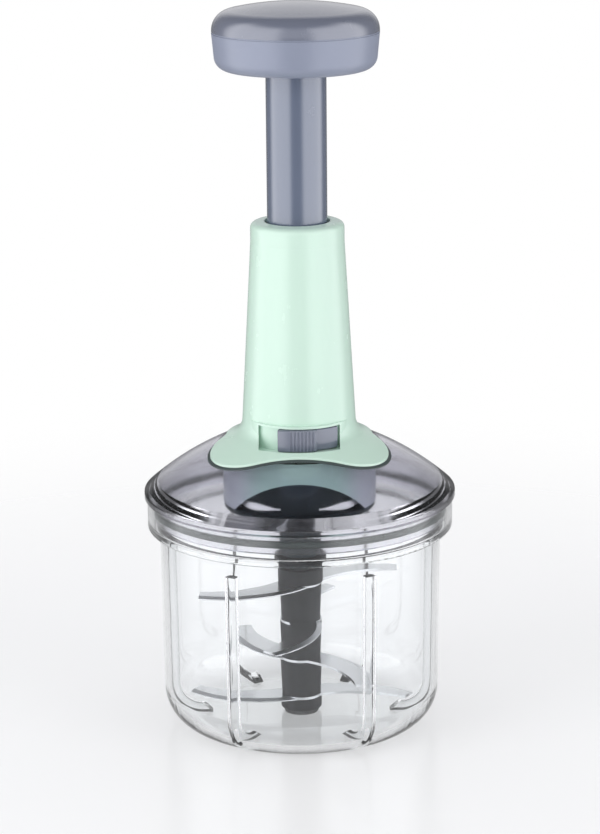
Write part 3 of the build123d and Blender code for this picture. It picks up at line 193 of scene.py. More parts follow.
class Pattern(Enum):
    """Kinds of fine marks: noise cells for each metre, and how many finer layers are added."""

    FLOOR_CLOUD = (3.0, 2.0)
    CLEAR_FLOW = (22.0, 2.0)
    MOULD_FLOW = (28.0, 3.0)
    SKIN_WAVE = (60.0, 1.0)
    METAL_CLOUD = (60.0, 3.0)
    SMEAR = (90.0, 4.0)
    HAZE = (140.0, 4.0)
    DUST = (420.0, 4.0)
    HAIRLINE = (900.0, 3.0)
    MOULD_SKIN = (1600.0, 2.0)
    WORKING_MARK = (1800.0, 3.0)


class Grain(Enum):
    """Runs of the marks: factors for their fineness across (X and Y) and along Z."""

    EVEN = (1.0, 1.0)
    ACROSS = (2.5, 0.1)
    TURNED = (0.15, 8.0)
    UPRIGHT = (1.0, 0.06)


class FinishNodes(NodeTree):
    """The nodes of one finish: its shader, and patterns that lie on the piece at true scale."""

    LAYER_STRENGTH = 0.55

    def __init__(self, name: str) -> None:
        """Starts a material.

        Args:
            name: Name of the new material.
        """
        self.material = bpy.data.materials.new(name)
        super().__init__(self.material)
        self.shader = self.add("ShaderNodeBsdfPrincipled")
        self.output = self.add("ShaderNodeOutputMaterial", Surface=self.shader.outputs["BSDF"])
        self.place = self.add("ShaderNodeTexCoord").outputs["Object"]

    def noise(self, pattern: Pattern, grain: Grain = Grain.EVEN) -> Socket:
        """Adds a pattern of marks.

        Args:
            pattern: Its kind.
            grain: Which way it runs.

        Returns:
            The pattern, from 0 to 1.
        """
        scale, detail = pattern.value
        place = self.place
        if grain is not Grain.EVEN:
            across, along = grain.value
            stretch = (across, across, along)
            place = self.add("ShaderNodeMapping", Vector=place, Scale=stretch).outputs["Vector"]
        node = self.add(
            "ShaderNodeTexNoise",
            Vector=place,
            Scale=scale,
            Detail=detail,
            Roughness=self.LAYER_STRENGTH,
        )
        return node.outputs["Fac"]

    def span(self, value: Socket, low: float, high: float) -> Socket:
        """Spreads a value from 0..1 over another range."""
        node = self.add("ShaderNodeMapRange", Value=value, To_Min=low, To_Max=high)
        return node.outputs["Result"]

    def mix(self, factor: Socket, low: Colour | Socket, high: Colour | Socket) -> Socket:
        """Mixes two colours by a value from 0 to 1."""
        node = self.add("ShaderNodeMixRGB", Fac=factor, Color1=low, Color2=high)
        return node.outputs["Color"]

    def shades(self, pattern: Socket, colour: Colour, spread: Pair) -> Socket:
        """Varies a colour's depth with a pattern, between two factors."""
        return self.mix(pattern, shade(colour, spread[0]), shade(colour, spread[1]))

    def relief(self, pattern: Socket, depth: float) -> None:
        """Lays a pattern on the surface as a relief, its depth in millimetres."""
        bump = self.add("ShaderNodeBump", Strength=1.0, Distance=depth * MM, Height=pattern)
        self.put(self.shader, Normal=bump.outputs["Normal"])


def shade(colour: Colour, factor: float) -> Colour:
    """The colour made lighter or darker by a factor."""
    return tuple(min(1.0, part * factor) for part in colour)


# ------------------------------------------------------------------ finishes


class Sheen(Enum):
    """How rough a moulding comes out of its tool."""

    SATIN = 0.26
    DULL = 0.46


@dataclass(frozen=True)
class Moulding:
    """Opaque moulded plastic with a faint flow mottle, a fine skin and light handling scuffs.

    With a painted side colour, the colour fades to it between two distances to either side of the
    middle. This is painted light: a pale fade that stands in for the smoked dome's bright look
    over the piece's sides.
    """

    name: str
    slot: str
    colour: Colour
    sheen: Sheen
    coat: float = 0.0
    coat_share: float = 0.4
    glow: float = 0.0
    glow_reach: Place = (4.0, 5.0, 4.0)
    specular: float = 0.5
    ior: float = 1.5
    mottle: float = 0.02
    smear: float = 0.15
    scuff: float = 0.015
    skin_depth: float = 0.0012
    painted_side_colour: Colour | None = None
    painted_side_start: float = 15.0
    painted_side_full: float = 30.0

    def tone(self, nodes: FinishNodes) -> Socket:
        """Lays the colour with its mottle, and fades it to the sides where it has a painted side
        colour, which is painted light.

        Args:
            nodes: The material's nodes.

        Returns:
            The colour.
        """
        flow = nodes.noise(Pattern.MOULD_FLOW)
        tone = nodes.shades(flow, self.colour, (1 - self.mottle, 1 + self.mottle))
        if self.painted_side_colour is None:
            return tone
        # Painted light: the colour fades to a pale side colour away from the middle, standing in
        # for the dome's brightness over the sides
        parts = nodes.add("ShaderNodeSeparateXYZ", Vector=nodes.place)
        gap = nodes.work_out("ABSOLUTE", parts.outputs["X"])
        fade = nodes.step(gap, self.painted_side_start * MM, self.painted_side_full * MM)
        return nodes.mix(fade, tone, self.painted_side_colour)

    def roughness(self, nodes: FinishNodes) -> Socket:
        """Works out the roughness, with its smears and its upright hairline scuffs.

        Args:
            nodes: The material's nodes.

        Returns:
            The roughness.
        """
        smooth = self.sheen.value
        smeared = nodes.span(
            nodes.noise(Pattern.SMEAR), smooth * (1 - self.smear), smooth * (1 + self.smear)
        )
        hairs = nodes.noise(Pattern.HAIRLINE, Grain.UPRIGHT)
        scuffed = nodes.span(hairs, -self.scuff / 2, self.scuff / 2)
        return nodes.work_out("ADD", smeared, scuffed)

    def make(self) -> bpy.types.Material:
        """Builds the material.

        Returns:
            The material.
        """
        nodes = FinishNodes(self.name)
        nodes.relief(nodes.noise(Pattern.MOULD_SKIN), self.skin_depth)
        nodes.put(
            nodes.shader,
            Base_Color=self.tone(nodes),
            Roughness=self.roughness(nodes),
            IOR=self.ior,
            Specular_IOR_Level=self.specular,
            Coat_Weight=self.coat,
            Coat_Roughness=self.sheen.value * self.coat_share,
            Subsurface_Weight=self.glow,
            Subsurface_Radius=tuple(reach * MM for reach in self.glow_reach),
        )
        return nodes.material


@dataclass(frozen=True)
class ClearMoulding:
    """See-through moulded plastic, tinted in the mass, with faint flow waves in its skin."""

    name: str
    slot: str
    tint: Colour
    roughness: float = 0.02
    ior: float = 1.5
    tint_spread: Pair = (0.985, 1.01)
    haze_spread: Pair = (0.6, 1.5)
    wave_depth: float = 0.03

    def make(self) -> bpy.types.Material:
        """Builds the material.

        Returns:
            The material.
        """
        nodes = FinishNodes(self.name)
        least, most = (self.roughness * factor for factor in self.haze_spread)
        nodes.relief(nodes.noise(Pattern.SKIN_WAVE), self.wave_depth)
        nodes.put(
            nodes.shader,
            Base_Color=nodes.shades(nodes.noise(Pattern.CLEAR_FLOW), self.tint, self.tint_spread),
            Roughness=nodes.span(nodes.noise(Pattern.HAZE), least, most),
            Transmission_Weight=1.0,
            IOR=self.ior,
        )
        return nodes.material


@dataclass(frozen=True)
class Metal:
    """Bare metal with fine working marks."""

    name: str
    slot: str
    colour: Colour
    roughness: float = 0.22
    grain: Grain = Grain.EVEN
    mark_depth: float = 0.006
    tone_spread: Pair = (0.93, 1.05)
    mark_spread: Pair = (0.7, 1.4)

    def make(self) -> bpy.types.Material:
        """Builds the material.

        Returns:
            The material.
        """
        nodes = FinishNodes(self.name)
        marks = nodes.noise(Pattern.WORKING_MARK, self.grain)
        cloud = nodes.noise(Pattern.METAL_CLOUD)
        least, most = (self.roughness * factor for factor in self.mark_spread)
        nodes.relief(marks, self.mark_depth)
        nodes.put(
            nodes.shader,
            Base_Color=nodes.shades(cloud, self.colour, self.tone_spread),
            Roughness=nodes.span(marks, least, most),
            Metallic=1.0,
        )
        return nodes.material


@dataclass(frozen=True)
class Rubber:
    """Silicone rubber: dark, soft in its sheen, with a fine dusty skin."""

    name: str
    slot: str
    colour: Colour
    roughness: Pair = (0.42, 0.6)
    tone_spread: Pair = (0.85, 1.2)
    dust_depth: float = 0.01

    def make(self) -> bpy.types.Material:
        """Builds the material.

        Returns:
            The material.
        """
        nodes = FinishNodes(self.name)
        dust = nodes.noise(Pattern.DUST)
        nodes.relief(dust, self.dust_depth)
        nodes.put(
            nodes.shader,
            Base_Color=nodes.shades(dust, self.colour, self.tone_spread),
            Roughness=nodes.span(dust, *self.roughness),
        )
        return nodes.material


Finish = Moulding | ClearMoulding | Metal | Rubber


class FinishBook:
    """Every finish of the chopper, built once and handed out by name."""

    CLEAR = ClearMoulding("clear_plastic", "clear_plastic", (0.975, 0.985, 0.99))
    SMOKE = ClearMoulding("smoked_plastic", "smoked_plastic", (0.70, 0.695, 0.745), 0.07)
    MINT = Moulding(
        "mint_plastic", "mint_plastic", (0.625, 0.812, 0.702), Sheen.SATIN, coat=0.15, glow=0.1
    )
    # The collar's pale lilac sides are painted light, standing in for the smoked dome's brighter
    # look over the collar's flanks
    COLLAR = Moulding(
        "collar_plastic",
        "collar_plastic",
        (0.66, 0.96, 0.88),
        Sheen.SATIN,
        coat=0.3,
        painted_side_colour=(0.80, 0.84, 0.93),
    )
    STEM = Moulding("stem_plastic", "blue_plastic", (0.125, 0.15, 0.215), Sheen.SATIN, coat=1.0)
    KNOB = Moulding("knob_plastic", "blue_plastic", (0.245, 0.27, 0.355), Sheen.DULL, coat=0.3)
    # Painted shade: the cap is the knob's own blue plastic in a darker tone, standing in for the
    # shade on the knob's crown
    SHADED_CAP = Moulding("cap_shaded_plastic", "blue_plastic", (0.155, 0.17, 0.225), Sheen.SATIN, coat=0.9)
    CATCH = Moulding(
        "catch_plastic", "catch_plastic", (0.165, 0.18, 0.235), Sheen.SATIN, coat=0.4
    )
    DARK = Moulding(
        "dark_plastic", "dark_plastic", (0.018, 0.019, 0.023), Sheen.DULL, specular=0.2
    )
    HOUSING = Moulding(
        "housing_plastic", "dark_plastic", (0.020, 0.032, 0.040), Sheen.DULL, specular=0.3
    )
    BEARING = Moulding(
        "bearing_plastic", "bearing_plastic", (0.74, 0.73, 0.68), Sheen.DULL, glow=0.2
    )
    SEAL = Rubber("seal_rubber", "seal_rubber", (0.045, 0.06, 0.06))
    BLADE = Metal("blade_steel", "blade_steel", (0.66, 0.67, 0.69), 0.16)
    GROUND = Metal(
        "ground_edge", "blade_steel", (0.60, 0.61, 0.64), 0.3, Grain.ACROSS, mark_depth=0.012
    )
    SHAFT = Metal("shaft_steel", "shaft_steel", (0.62, 0.63, 0.65), 0.2, Grain.TURNED)
    FASTENER = Metal("fastener_steel", "fastener_steel", (0.70, 0.70, 0.69), 0.24, Grain.TURNED)
    # Bright steel for the two crescents that stand in for glints on the housing: painted glints
    CLIP = Metal("glint_clip_steel", "fastener_steel", (0.95, 0.95, 0.97), 0.38, mark_depth=0.001)
    SPRING = Metal("spring_steel", "spring_steel", (0.55, 0.56, 0.58))

    ALL: tuple[Finish, ...] = (
        CLEAR, SMOKE, MINT, COLLAR, STEM, KNOB, SHADED_CAP, CATCH, DARK, HOUSING, BEARING, SEAL,
        BLADE, GROUND, SHAFT, FASTENER, CLIP, SPRING,
    )

    def __init__(self) -> None:
        """Builds every material."""
        self.materials = {finish.name: finish.make() for finish in self.ALL}

    def dress(self, piece: bpy.types.Object, *finishes: Finish) -> None:
        """Gives a piece its finishes.

        Args:
            piece: A piece of this script, or a node carried over from the frame.
            finishes: Its finishes, in the order of its faces' material numbers.
        """
        piece.data.materials.clear()
        for finish in finishes:
            piece.data.materials.append(self.materials[finish.name])


# ------------------------------------------------------------------ shaping tools


def rounded(corners: Sequence[Corner], step: float) -> list[Point]:
    """Rounds the corners of a closed outline with arcs.

    Args:
        corners: (radius, height, rounding) of each corner in millimetres, in order.
        step: Largest turn between two points of an arc, in degrees.

    Returns:
        The outline's points.
    """
    outline: list[Point] = []
    count = len(corners)
    for index, (x, y, size) in enumerate(corners):
        here = Vector((x, y))
        before = Vector(corners[index - 1][:2]) - here
        after = Vector(corners[(index + 1) % count][:2]) - here
        turn = math.pi - before.angle(after, math.pi)
        if size <= 0.0 or turn < STRAIGHT_TURN:
            outline.append((x, y))
            continue
        reach = size * math.tan(turn / 2)
        start = here + before.normalized() * reach
        end = here + after.normalized() * reach
        middle = (before.normalized() + after.normalized()).normalized()
        centre = here + middle * (size / math.cos(turn / 2))
        parts = max(2, math.ceil(math.degrees(turn) / step))
        for part in range(parts + 1):
            ray = start.lerp(end, part / parts) - centre
            spot = centre + ray.normalized() * size
            outline.append((spot.x, spot.y))
    return outline


def polar(radius: float, bearing: float, height: float) -> Place:
    """A place in millimetres, from its radius, its bearing from the front and its height."""
    angle = math.radians(bearing)
    return (radius * math.sin(angle), -radius * math.cos(angle), height)


def make_piece(
    name: str, points: Sequence[Place], faces: Sequence[Sequence[int]]
) -> bpy.types.Object:
    """Makes a piece from points in millimetres.

    Args:
        name: Name of the piece.
        points: Its points.
        faces: Its faces, as the numbers of their points.

    Returns:
        The piece, in metres.
    """
    mesh = bpy.data.meshes.new(name)
    mesh.from_pydata([tuple(value * MM for value in point) for point in points], [], faces)
    shape = bmesh.new()
    shape.from_mesh(mesh)
    bmesh.ops.remove_doubles(shape, verts=shape.verts, dist=WELD_DISTANCE)
    bmesh.ops.recalc_face_normals(shape, faces=shape.faces)
    shape.to_mesh(mesh)
    shape.free()
    mesh.shade_smooth()
    mesh.set_sharp_from_angle(angle=math.radians(CREASE_ANGLE))
    piece = bpy.data.objects.new(name, mesh)
    bpy.context.scene.collection.objects.link(piece)
    return piece


def swept(name: str, sections: Sequence[Sequence[Place]], closed: bool) -> bpy.types.Object:
    """Skins a row of closed sections that all have the same number of points.

    Args:
        name: Name of the piece.
        sections: The sections in millimetres, in order.
        closed: Whether the last section joins the first, as in a ring. If not, both are capped.

    Returns:
        The piece.
    """
    size = len(sections[0])
    count = len(sections)
    points = [point for section in sections for point in section]
    faces: list[Sequence[int]] = []
    for row in range(count if closed else count - 1):
        here, there = row * size, (row + 1) % count * size
        for spot in range(size):
            beside = (spot + 1) % size
            faces.append((here + spot, here + beside, there + beside, there + spot))
    if not closed:
        faces.append(tuple(range(size)))
        faces.append(tuple(range((count - 1) * size, count * size)))
    return make_piece(name, points, faces)


def lathe(name: str, outline: Sequence[Point], sides: int) -> bpy.types.Object:
    """Turns a closed outline into a ring round the upright axis.

    Args:
        name: Name of the piece.
        outline: (radius, height) of the outline's points in millimetres.
        sides: How many flat sides the ring has.

    Returns:
        The piece.
    """
    sections = [
        [polar(radius, 360.0 * side / sides, height) for radius, height in outline]
        for side in range(sides)
    ]
    return swept(name, sections, closed=True)


def ease(value: float) -> float:
    """A smooth step from 0 to 1, flat at both ends."""
    held = min(1.0, max(0.0, value))
    return held * held * (3.0 - 2.0 * held)


# ------------------------------------------------------------------ sub-assemblies


@dataclass
class Assembly:
    """A sub-assembly, which dresses the nodes that it carries over and adds finer pieces."""

    book: FinishBook
    pieces: list[str] = field(default_factory=list)

    def carry(self, finish: Finish, *names: str) -> None:
        """Keeps nodes of the frame as they are and gives them a finish.

        Args:
            finish: The finish.
            names: Names of the nodes.
        """
        for name in names:
            self.book.dress(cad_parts[name], finish)
            self.pieces.append(name)

    def fit(
        self, piece: bpy.types.Object, body: str, *finishes: Finish, instead: str | None = None
    ) -> None:
        """Dresses a new piece and hangs it on a body.

        Args:
            piece: The new piece, in place.
            body: The body that it moves with.
            finishes: Its finishes; the first gives its slot.
            instead: The node that it stands for, if any.
        """
        self.book.dress(piece, *finishes)
        if instead is not None:
            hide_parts(instead)
        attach(piece, body)
        self.pieces.append(piece.name)

    def build(self) -> None:
        """Makes the finer pieces. A sub-assembly that has none leaves this as it is."""

    def dress(self) -> None:
        """Gives every carried node its finish."""

    def report(self) -> None:
        """Logs every piece of the sub-assembly."""
        for name in self.pieces:
            LOG.info("%s holds %s", type(self).__name__, name)


@dataclass
class Bowl(Assembly):
    """The clear bowl and the pin that stands in its floor."""

    def dress(self) -> None:
        """Dresses the bowl and its pin."""
        self.carry(self.book.CLEAR, "bowl")
        self.carry(self.book.SHAFT, "pivot_pin")


@dataclass
class Lid(Assembly):
    """The smoked dome and its two seals."""

    def dress(self) -> None:
        """Dresses the dome and the seals."""
        self.carry(self.book.SMOKE, "lid_dome")
        self.carry(self.book.SEAL, "lid_gasket", "foot_gasket")


@dataclass
class Tower(Assembly):
    """The mint tower with its foot, and the bush that guides the stem."""

    def dress(self) -> None:
        """Dresses the tower and the bush."""
        self.carry(self.book.MINT, "tower_shell")
        self.carry(self.book.BEARING, "stem_bush")


@dataclass
class Plunger(Assembly):
    """The stem with its palm knob, nut and spring."""

    joint_depth: float = 0.32
    joint_wall: float = 0.7
    joint_height: float = 0.66
    joint_lift: float = 0.02
    joint_sides: int = 240
    stroke: float = 66.7
    wire: float = 1.3
    wire_sides: int = 12
    turns: int = 8
    end_turns: float = 1.0
    end_pitch: float = 1.36
    turn_steps: int = 40

    def climb(self, turn: float, pitch: float) -> float:
        """How far the spring's wire has climbed, with its end turns wound close.

        Args:
            turn: Turns from the lower end.
            pitch: Climb of one open turn.

        Returns:
            The climb in millimetres.
        """
        open_turn = turn - self.end_turns
        climb = min(turn, self.end_turns) * self.end_pitch
        climb += min(max(open_turn, 0.0), self.turns) * pitch
        return climb + max(open_turn - self.turns, 0.0) * self.end_pitch

    def spring(self) -> bpy.types.Object:
        """Makes the return spring in the room of the plain one.

        Returns:
            The spring.
        """
        low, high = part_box("return_spring")
        radius = (high.x - low.x) / 2 / MM - self.wire / 2
        base = low.z / MM + self.wire / 2
        span = high.z / MM - self.wire / 2 - base
        pitch = (span - 2 * self.end_turns * self.end_pitch) / self.turns
        total = self.turns + 2 * self.end_turns
        count = round(total * self.turn_steps)
        sections = []
        for number in range(count + 1):
            turn = total * number / count
            centre = base + self.climb(turn, pitch)
            section = []
            for side in range(self.wire_sides):
                angle = 2 * math.pi * side / self.wire_sides
                out = radius + self.wire / 2 * math.cos(angle)
                up = centre + self.wire / 2 * math.sin(angle)
                section.append(polar(out, 360.0 * turn, up))
            sections.append(section)
        return swept("stem_spring", sections, closed=False)

    def build_spring(self) -> None:
        """Hangs the spring on the plunger in place of the plain one."""
        spring = self.spring()
        self.fit(spring, "plunger", self.book.SPRING, instead="return_spring")
        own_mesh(spring)

    def build_joint(self) -> None:
        """Makes the ring that closes the joint between the knob and its cap to a fine line."""
        low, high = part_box("knob_body")
        outer = (high.x - low.x) / 2 / MM - self.joint_depth
        inner = outer - self.joint_wall
        base = high.z / MM + self.joint_lift
        top = base + self.joint_height
        outline = [(inner, base), (outer, base), (outer, top), (inner, top)]
        joint = lathe("knob_joint", outline, self.joint_sides)
        self.fit(joint, "plunger", self.book.KNOB)

    def build(self) -> None:
        """Makes the spring and the joint's ring."""
        self.build_spring()
        self.build_joint()

    def dress(self) -> None:
        """Dresses the plunger's pieces."""
        self.carry(self.book.STEM, "plunger_stem")
        self.carry(self.book.KNOB, "knob_body")
        # The cap's darker tone is painted shade on the knob's crown
        self.carry(self.book.SHADED_CAP, "knob_cap")
        self.carry(self.book.BEARING, "drive_nut")
        self.carry(self.book.FASTENER, "nut_screws", "knob_screw", "knob_washer")


@dataclass
class Catch(Assembly):
    """The travel lock: a ring inside the tower and the ribbed pad that turns it.

    Bearings are degrees from the front, positive to the right.
    """

    inner: float = 25.2
    grip: float = 29.6
    plate: float = 27.2
    start: float = -19.5
    step: float = 17.0
    end: float = 40.0
    rounding: float = 0.8
    round_step: float = 18.0
    end_round: float = 1.8
    rib_start: float = -8.2
    rib_pitch: float = 3.1
    rib_count: int = 8
    rib_depth: float = 0.55
    bearing_step: float = 0.31

    def reach(self, bearing: float) -> float:
        """Works out the pad's outer radius, with its ribs, its step and its rounded ends.

        Args:
            bearing: Where the radius is wanted.

        Returns:
            The radius in millimetres.
        """
        edge = min(bearing - self.start, self.end - bearing) / self.end_round
        drop = self.rounding * (1 - math.sqrt(max(0.0, 1 - (1 - min(1.0, edge)) ** 2)))
        rise = 1 - ease((bearing - self.step + self.end_round) / self.end_round)
        radius = self.plate + (self.grip - self.plate) * rise - drop
        along = (bearing - self.rib_start) / self.rib_pitch
        if 0.0 < along < self.rib_count:
            wave = (1 - math.cos(2 * math.pi * along)) / 2
            radius -= self.rib_depth * ease(wave) * rise
        return radius

    def section(self, bearing: float, low: float, high: float) -> list[Place]:
        """One upright section of the pad.

        Args:
            bearing: Where the section stands.
            low: Level of the pad's underside.
            high: Level of its top.

        Returns:
            The section's points, always the same number.
        """
        radius = self.reach(bearing)
        corners = [
            (self.inner, low, 0.0),
            (radius, low, self.rounding),
            (radius, high, self.rounding),
            (self.inner, high, 0.0),
        ]
        outline = rounded(corners, self.round_step)
        return [polar(spot[0], bearing, spot[1]) for spot in outline]

    def build(self) -> None:
        """Makes the pad with its soft ribs in place of the plain one."""
        low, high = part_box("catch_pad")
        count = round((self.end - self.start) / self.bearing_step)
        sections = []
        for number in range(count + 1):
            bearing = self.start + (self.end - self.start) * number / count
            sections.append(self.section(bearing, low.z / MM, high.z / MM))
        pad = swept("catch_grip", sections, closed=False)
        self.fit(pad, "catch", self.book.CATCH, instead="catch_pad")

    def dress(self) -> None:
        """Dresses the ring."""
        self.carry(self.book.CATCH, "catch_ring")


@dataclass
class Drive(Assembly):
    """The twisted bar, the one-way clutch and the housing that hangs under the dome."""

    clip_gap: float = 0.04
    clip_wall: float = 0.7
    clip_drop: float = 12.4
    clip_height: float = 3.6
    clip_tip_share: float = 0.25
    clip_round: float = 0.3
    clip_round_step: float = 12.0
    clip_start: float = 16.0
    clip_end: float = 66.0
    clip_taper: float = 24.0
    clip_parts: int = 36

    def clip(self, name: str, side: float, radius: float, base: float) -> bpy.types.Object:
        """Makes one bright clip, a crescent that tapers off at both ends and stands in for a
        glint on the housing.

        Args:
            name: Name of the clip.
            side: -1 for the left of the front, 1 for the right.
            radius: Inner radius.
            base: Level of its lower edge.

        Returns:
            The clip.
        """
        outer = radius + self.clip_wall
        sections = []
        for number in range(self.clip_parts + 1):
            along = (self.clip_end - self.clip_start) * number / self.clip_parts
            bearing = self.clip_start + along
            rest = min(bearing - self.clip_start, self.clip_end - bearing)
            swell = (1 - self.clip_tip_share) * ease(rest / self.clip_taper)
            height = self.clip_height * (self.clip_tip_share + swell)
            low = base + (self.clip_height - height) / 2
            high = low + height
            corners = [
                (radius, low, 0.0),
                (outer, low, self.clip_round),
                (outer, high, self.clip_round),
                (radius, high, 0.0),
            ]
            outline = rounded(corners, self.clip_round_step)
            sections.append([polar(spot[0], side * bearing, spot[1]) for spot in outline])
        return swept(name, sections, closed=False)

    def build(self) -> None:
        """Makes the two bright clips behind the window: bright steel put where the housing shows
        only glints, a painted glint in solid form.
        """
        low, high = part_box("housing_cap")
        radius = (high.x - low.x) / 2 / MM + self.clip_gap
        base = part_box("drive_housing")[1].z / MM - self.clip_drop
        # Painted glints: two bright crescents to either side of the front, where the housing
        # would show only reflections
        for name, side in (("housing_glint_left", -1.0), ("housing_glint_right", 1.0)):
            self.fit(self.clip(name, side, radius, base), "lid", self.book.CLIP)

    def dress(self) -> None:
        """Dresses the drive's pieces."""
        self.carry(self.book.SHAFT, "drive_screw", "driver_pin", "output_shaft", "spring_washer")
        self.carry(self.book.BEARING, "pawl_disc", "ratchet_drum", "screw_bush", "neck_bushes")
        self.carry(self.book.BEARING, "thrust_washer")
        self.carry(self.book.HOUSING, "drive_housing", "housing_cap")
        self.carry(self.book.DARK, "drive_coupling")
        self.carry(self.book.COLLAR, "drum_collar")
        self.carry(self.book.FASTENER, "housing_screws", "coupling_screw")


@dataclass
class BladeStack(Assembly):
    """Four S-shaped blades on a square shank, with the spacers between them."""

    count: int = 4
    bevel_least: float = 0.1
    bevel_most: float = 0.995

    def split_bevel(self, blade: bpy.types.Object) -> None:
        """Sets a blade's ground bevels off from its rolled faces.

        Args:
            blade: The blade. Its sloping faces, neither level nor upright, are the ground ones.
        """
        for face in blade.data.polygons:
            slope = abs(face.normal.z)
            face.material_index = 1 if self.bevel_least < slope < self.bevel_most else 0

    def dress(self) -> None:
        """Dresses the blades and what holds them."""
        for number in range(1, self.count + 1):
            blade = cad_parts[f"blade_{number}"]
            self.book.dress(blade, self.book.BLADE, self.book.GROUND)
            self.split_bevel(blade)
            self.pieces.append(blade.name)
        self.carry(self.book.DARK, "blade_spindle", "spindle_foot")
        self.carry(self.book.DARK, *(f"hub_spacer_{n}" for n in range(1, self.count)))


# ------------------------------------------------------------------ studio


@dataclass(frozen=True)
class Lamp:
    """A rectangular soft lamp that lights but isn't mirrored. Its power is in watts."""

    name: str
    place: Place
    size: Pair
    power: float

    def hang(self, aim: Place) -> None:
        """Hangs the lamp.

        Args:
            aim: Place that it faces, in millimetres.
        """
        data = bpy.data.lights.new(self.name, "AREA")
        data.shape = "RECTANGLE"
        data.size, data.size_y = self.size[0] * MM, self.size[1] * MM
        data.energy = self.power
        lamp = bpy.data.objects.new(self.name, data)
        bpy.context.scene.collection.objects.link(lamp)
        lamp.location = Vector(self.place) * MM
        facing = (Vector(aim) - Vector(self.place)).to_track_quat("-Z", "Y")
        lamp.rotation_euler = facing.to_euler()
        lamp.visible_glossy = False
        lamp.visible_transmission = False


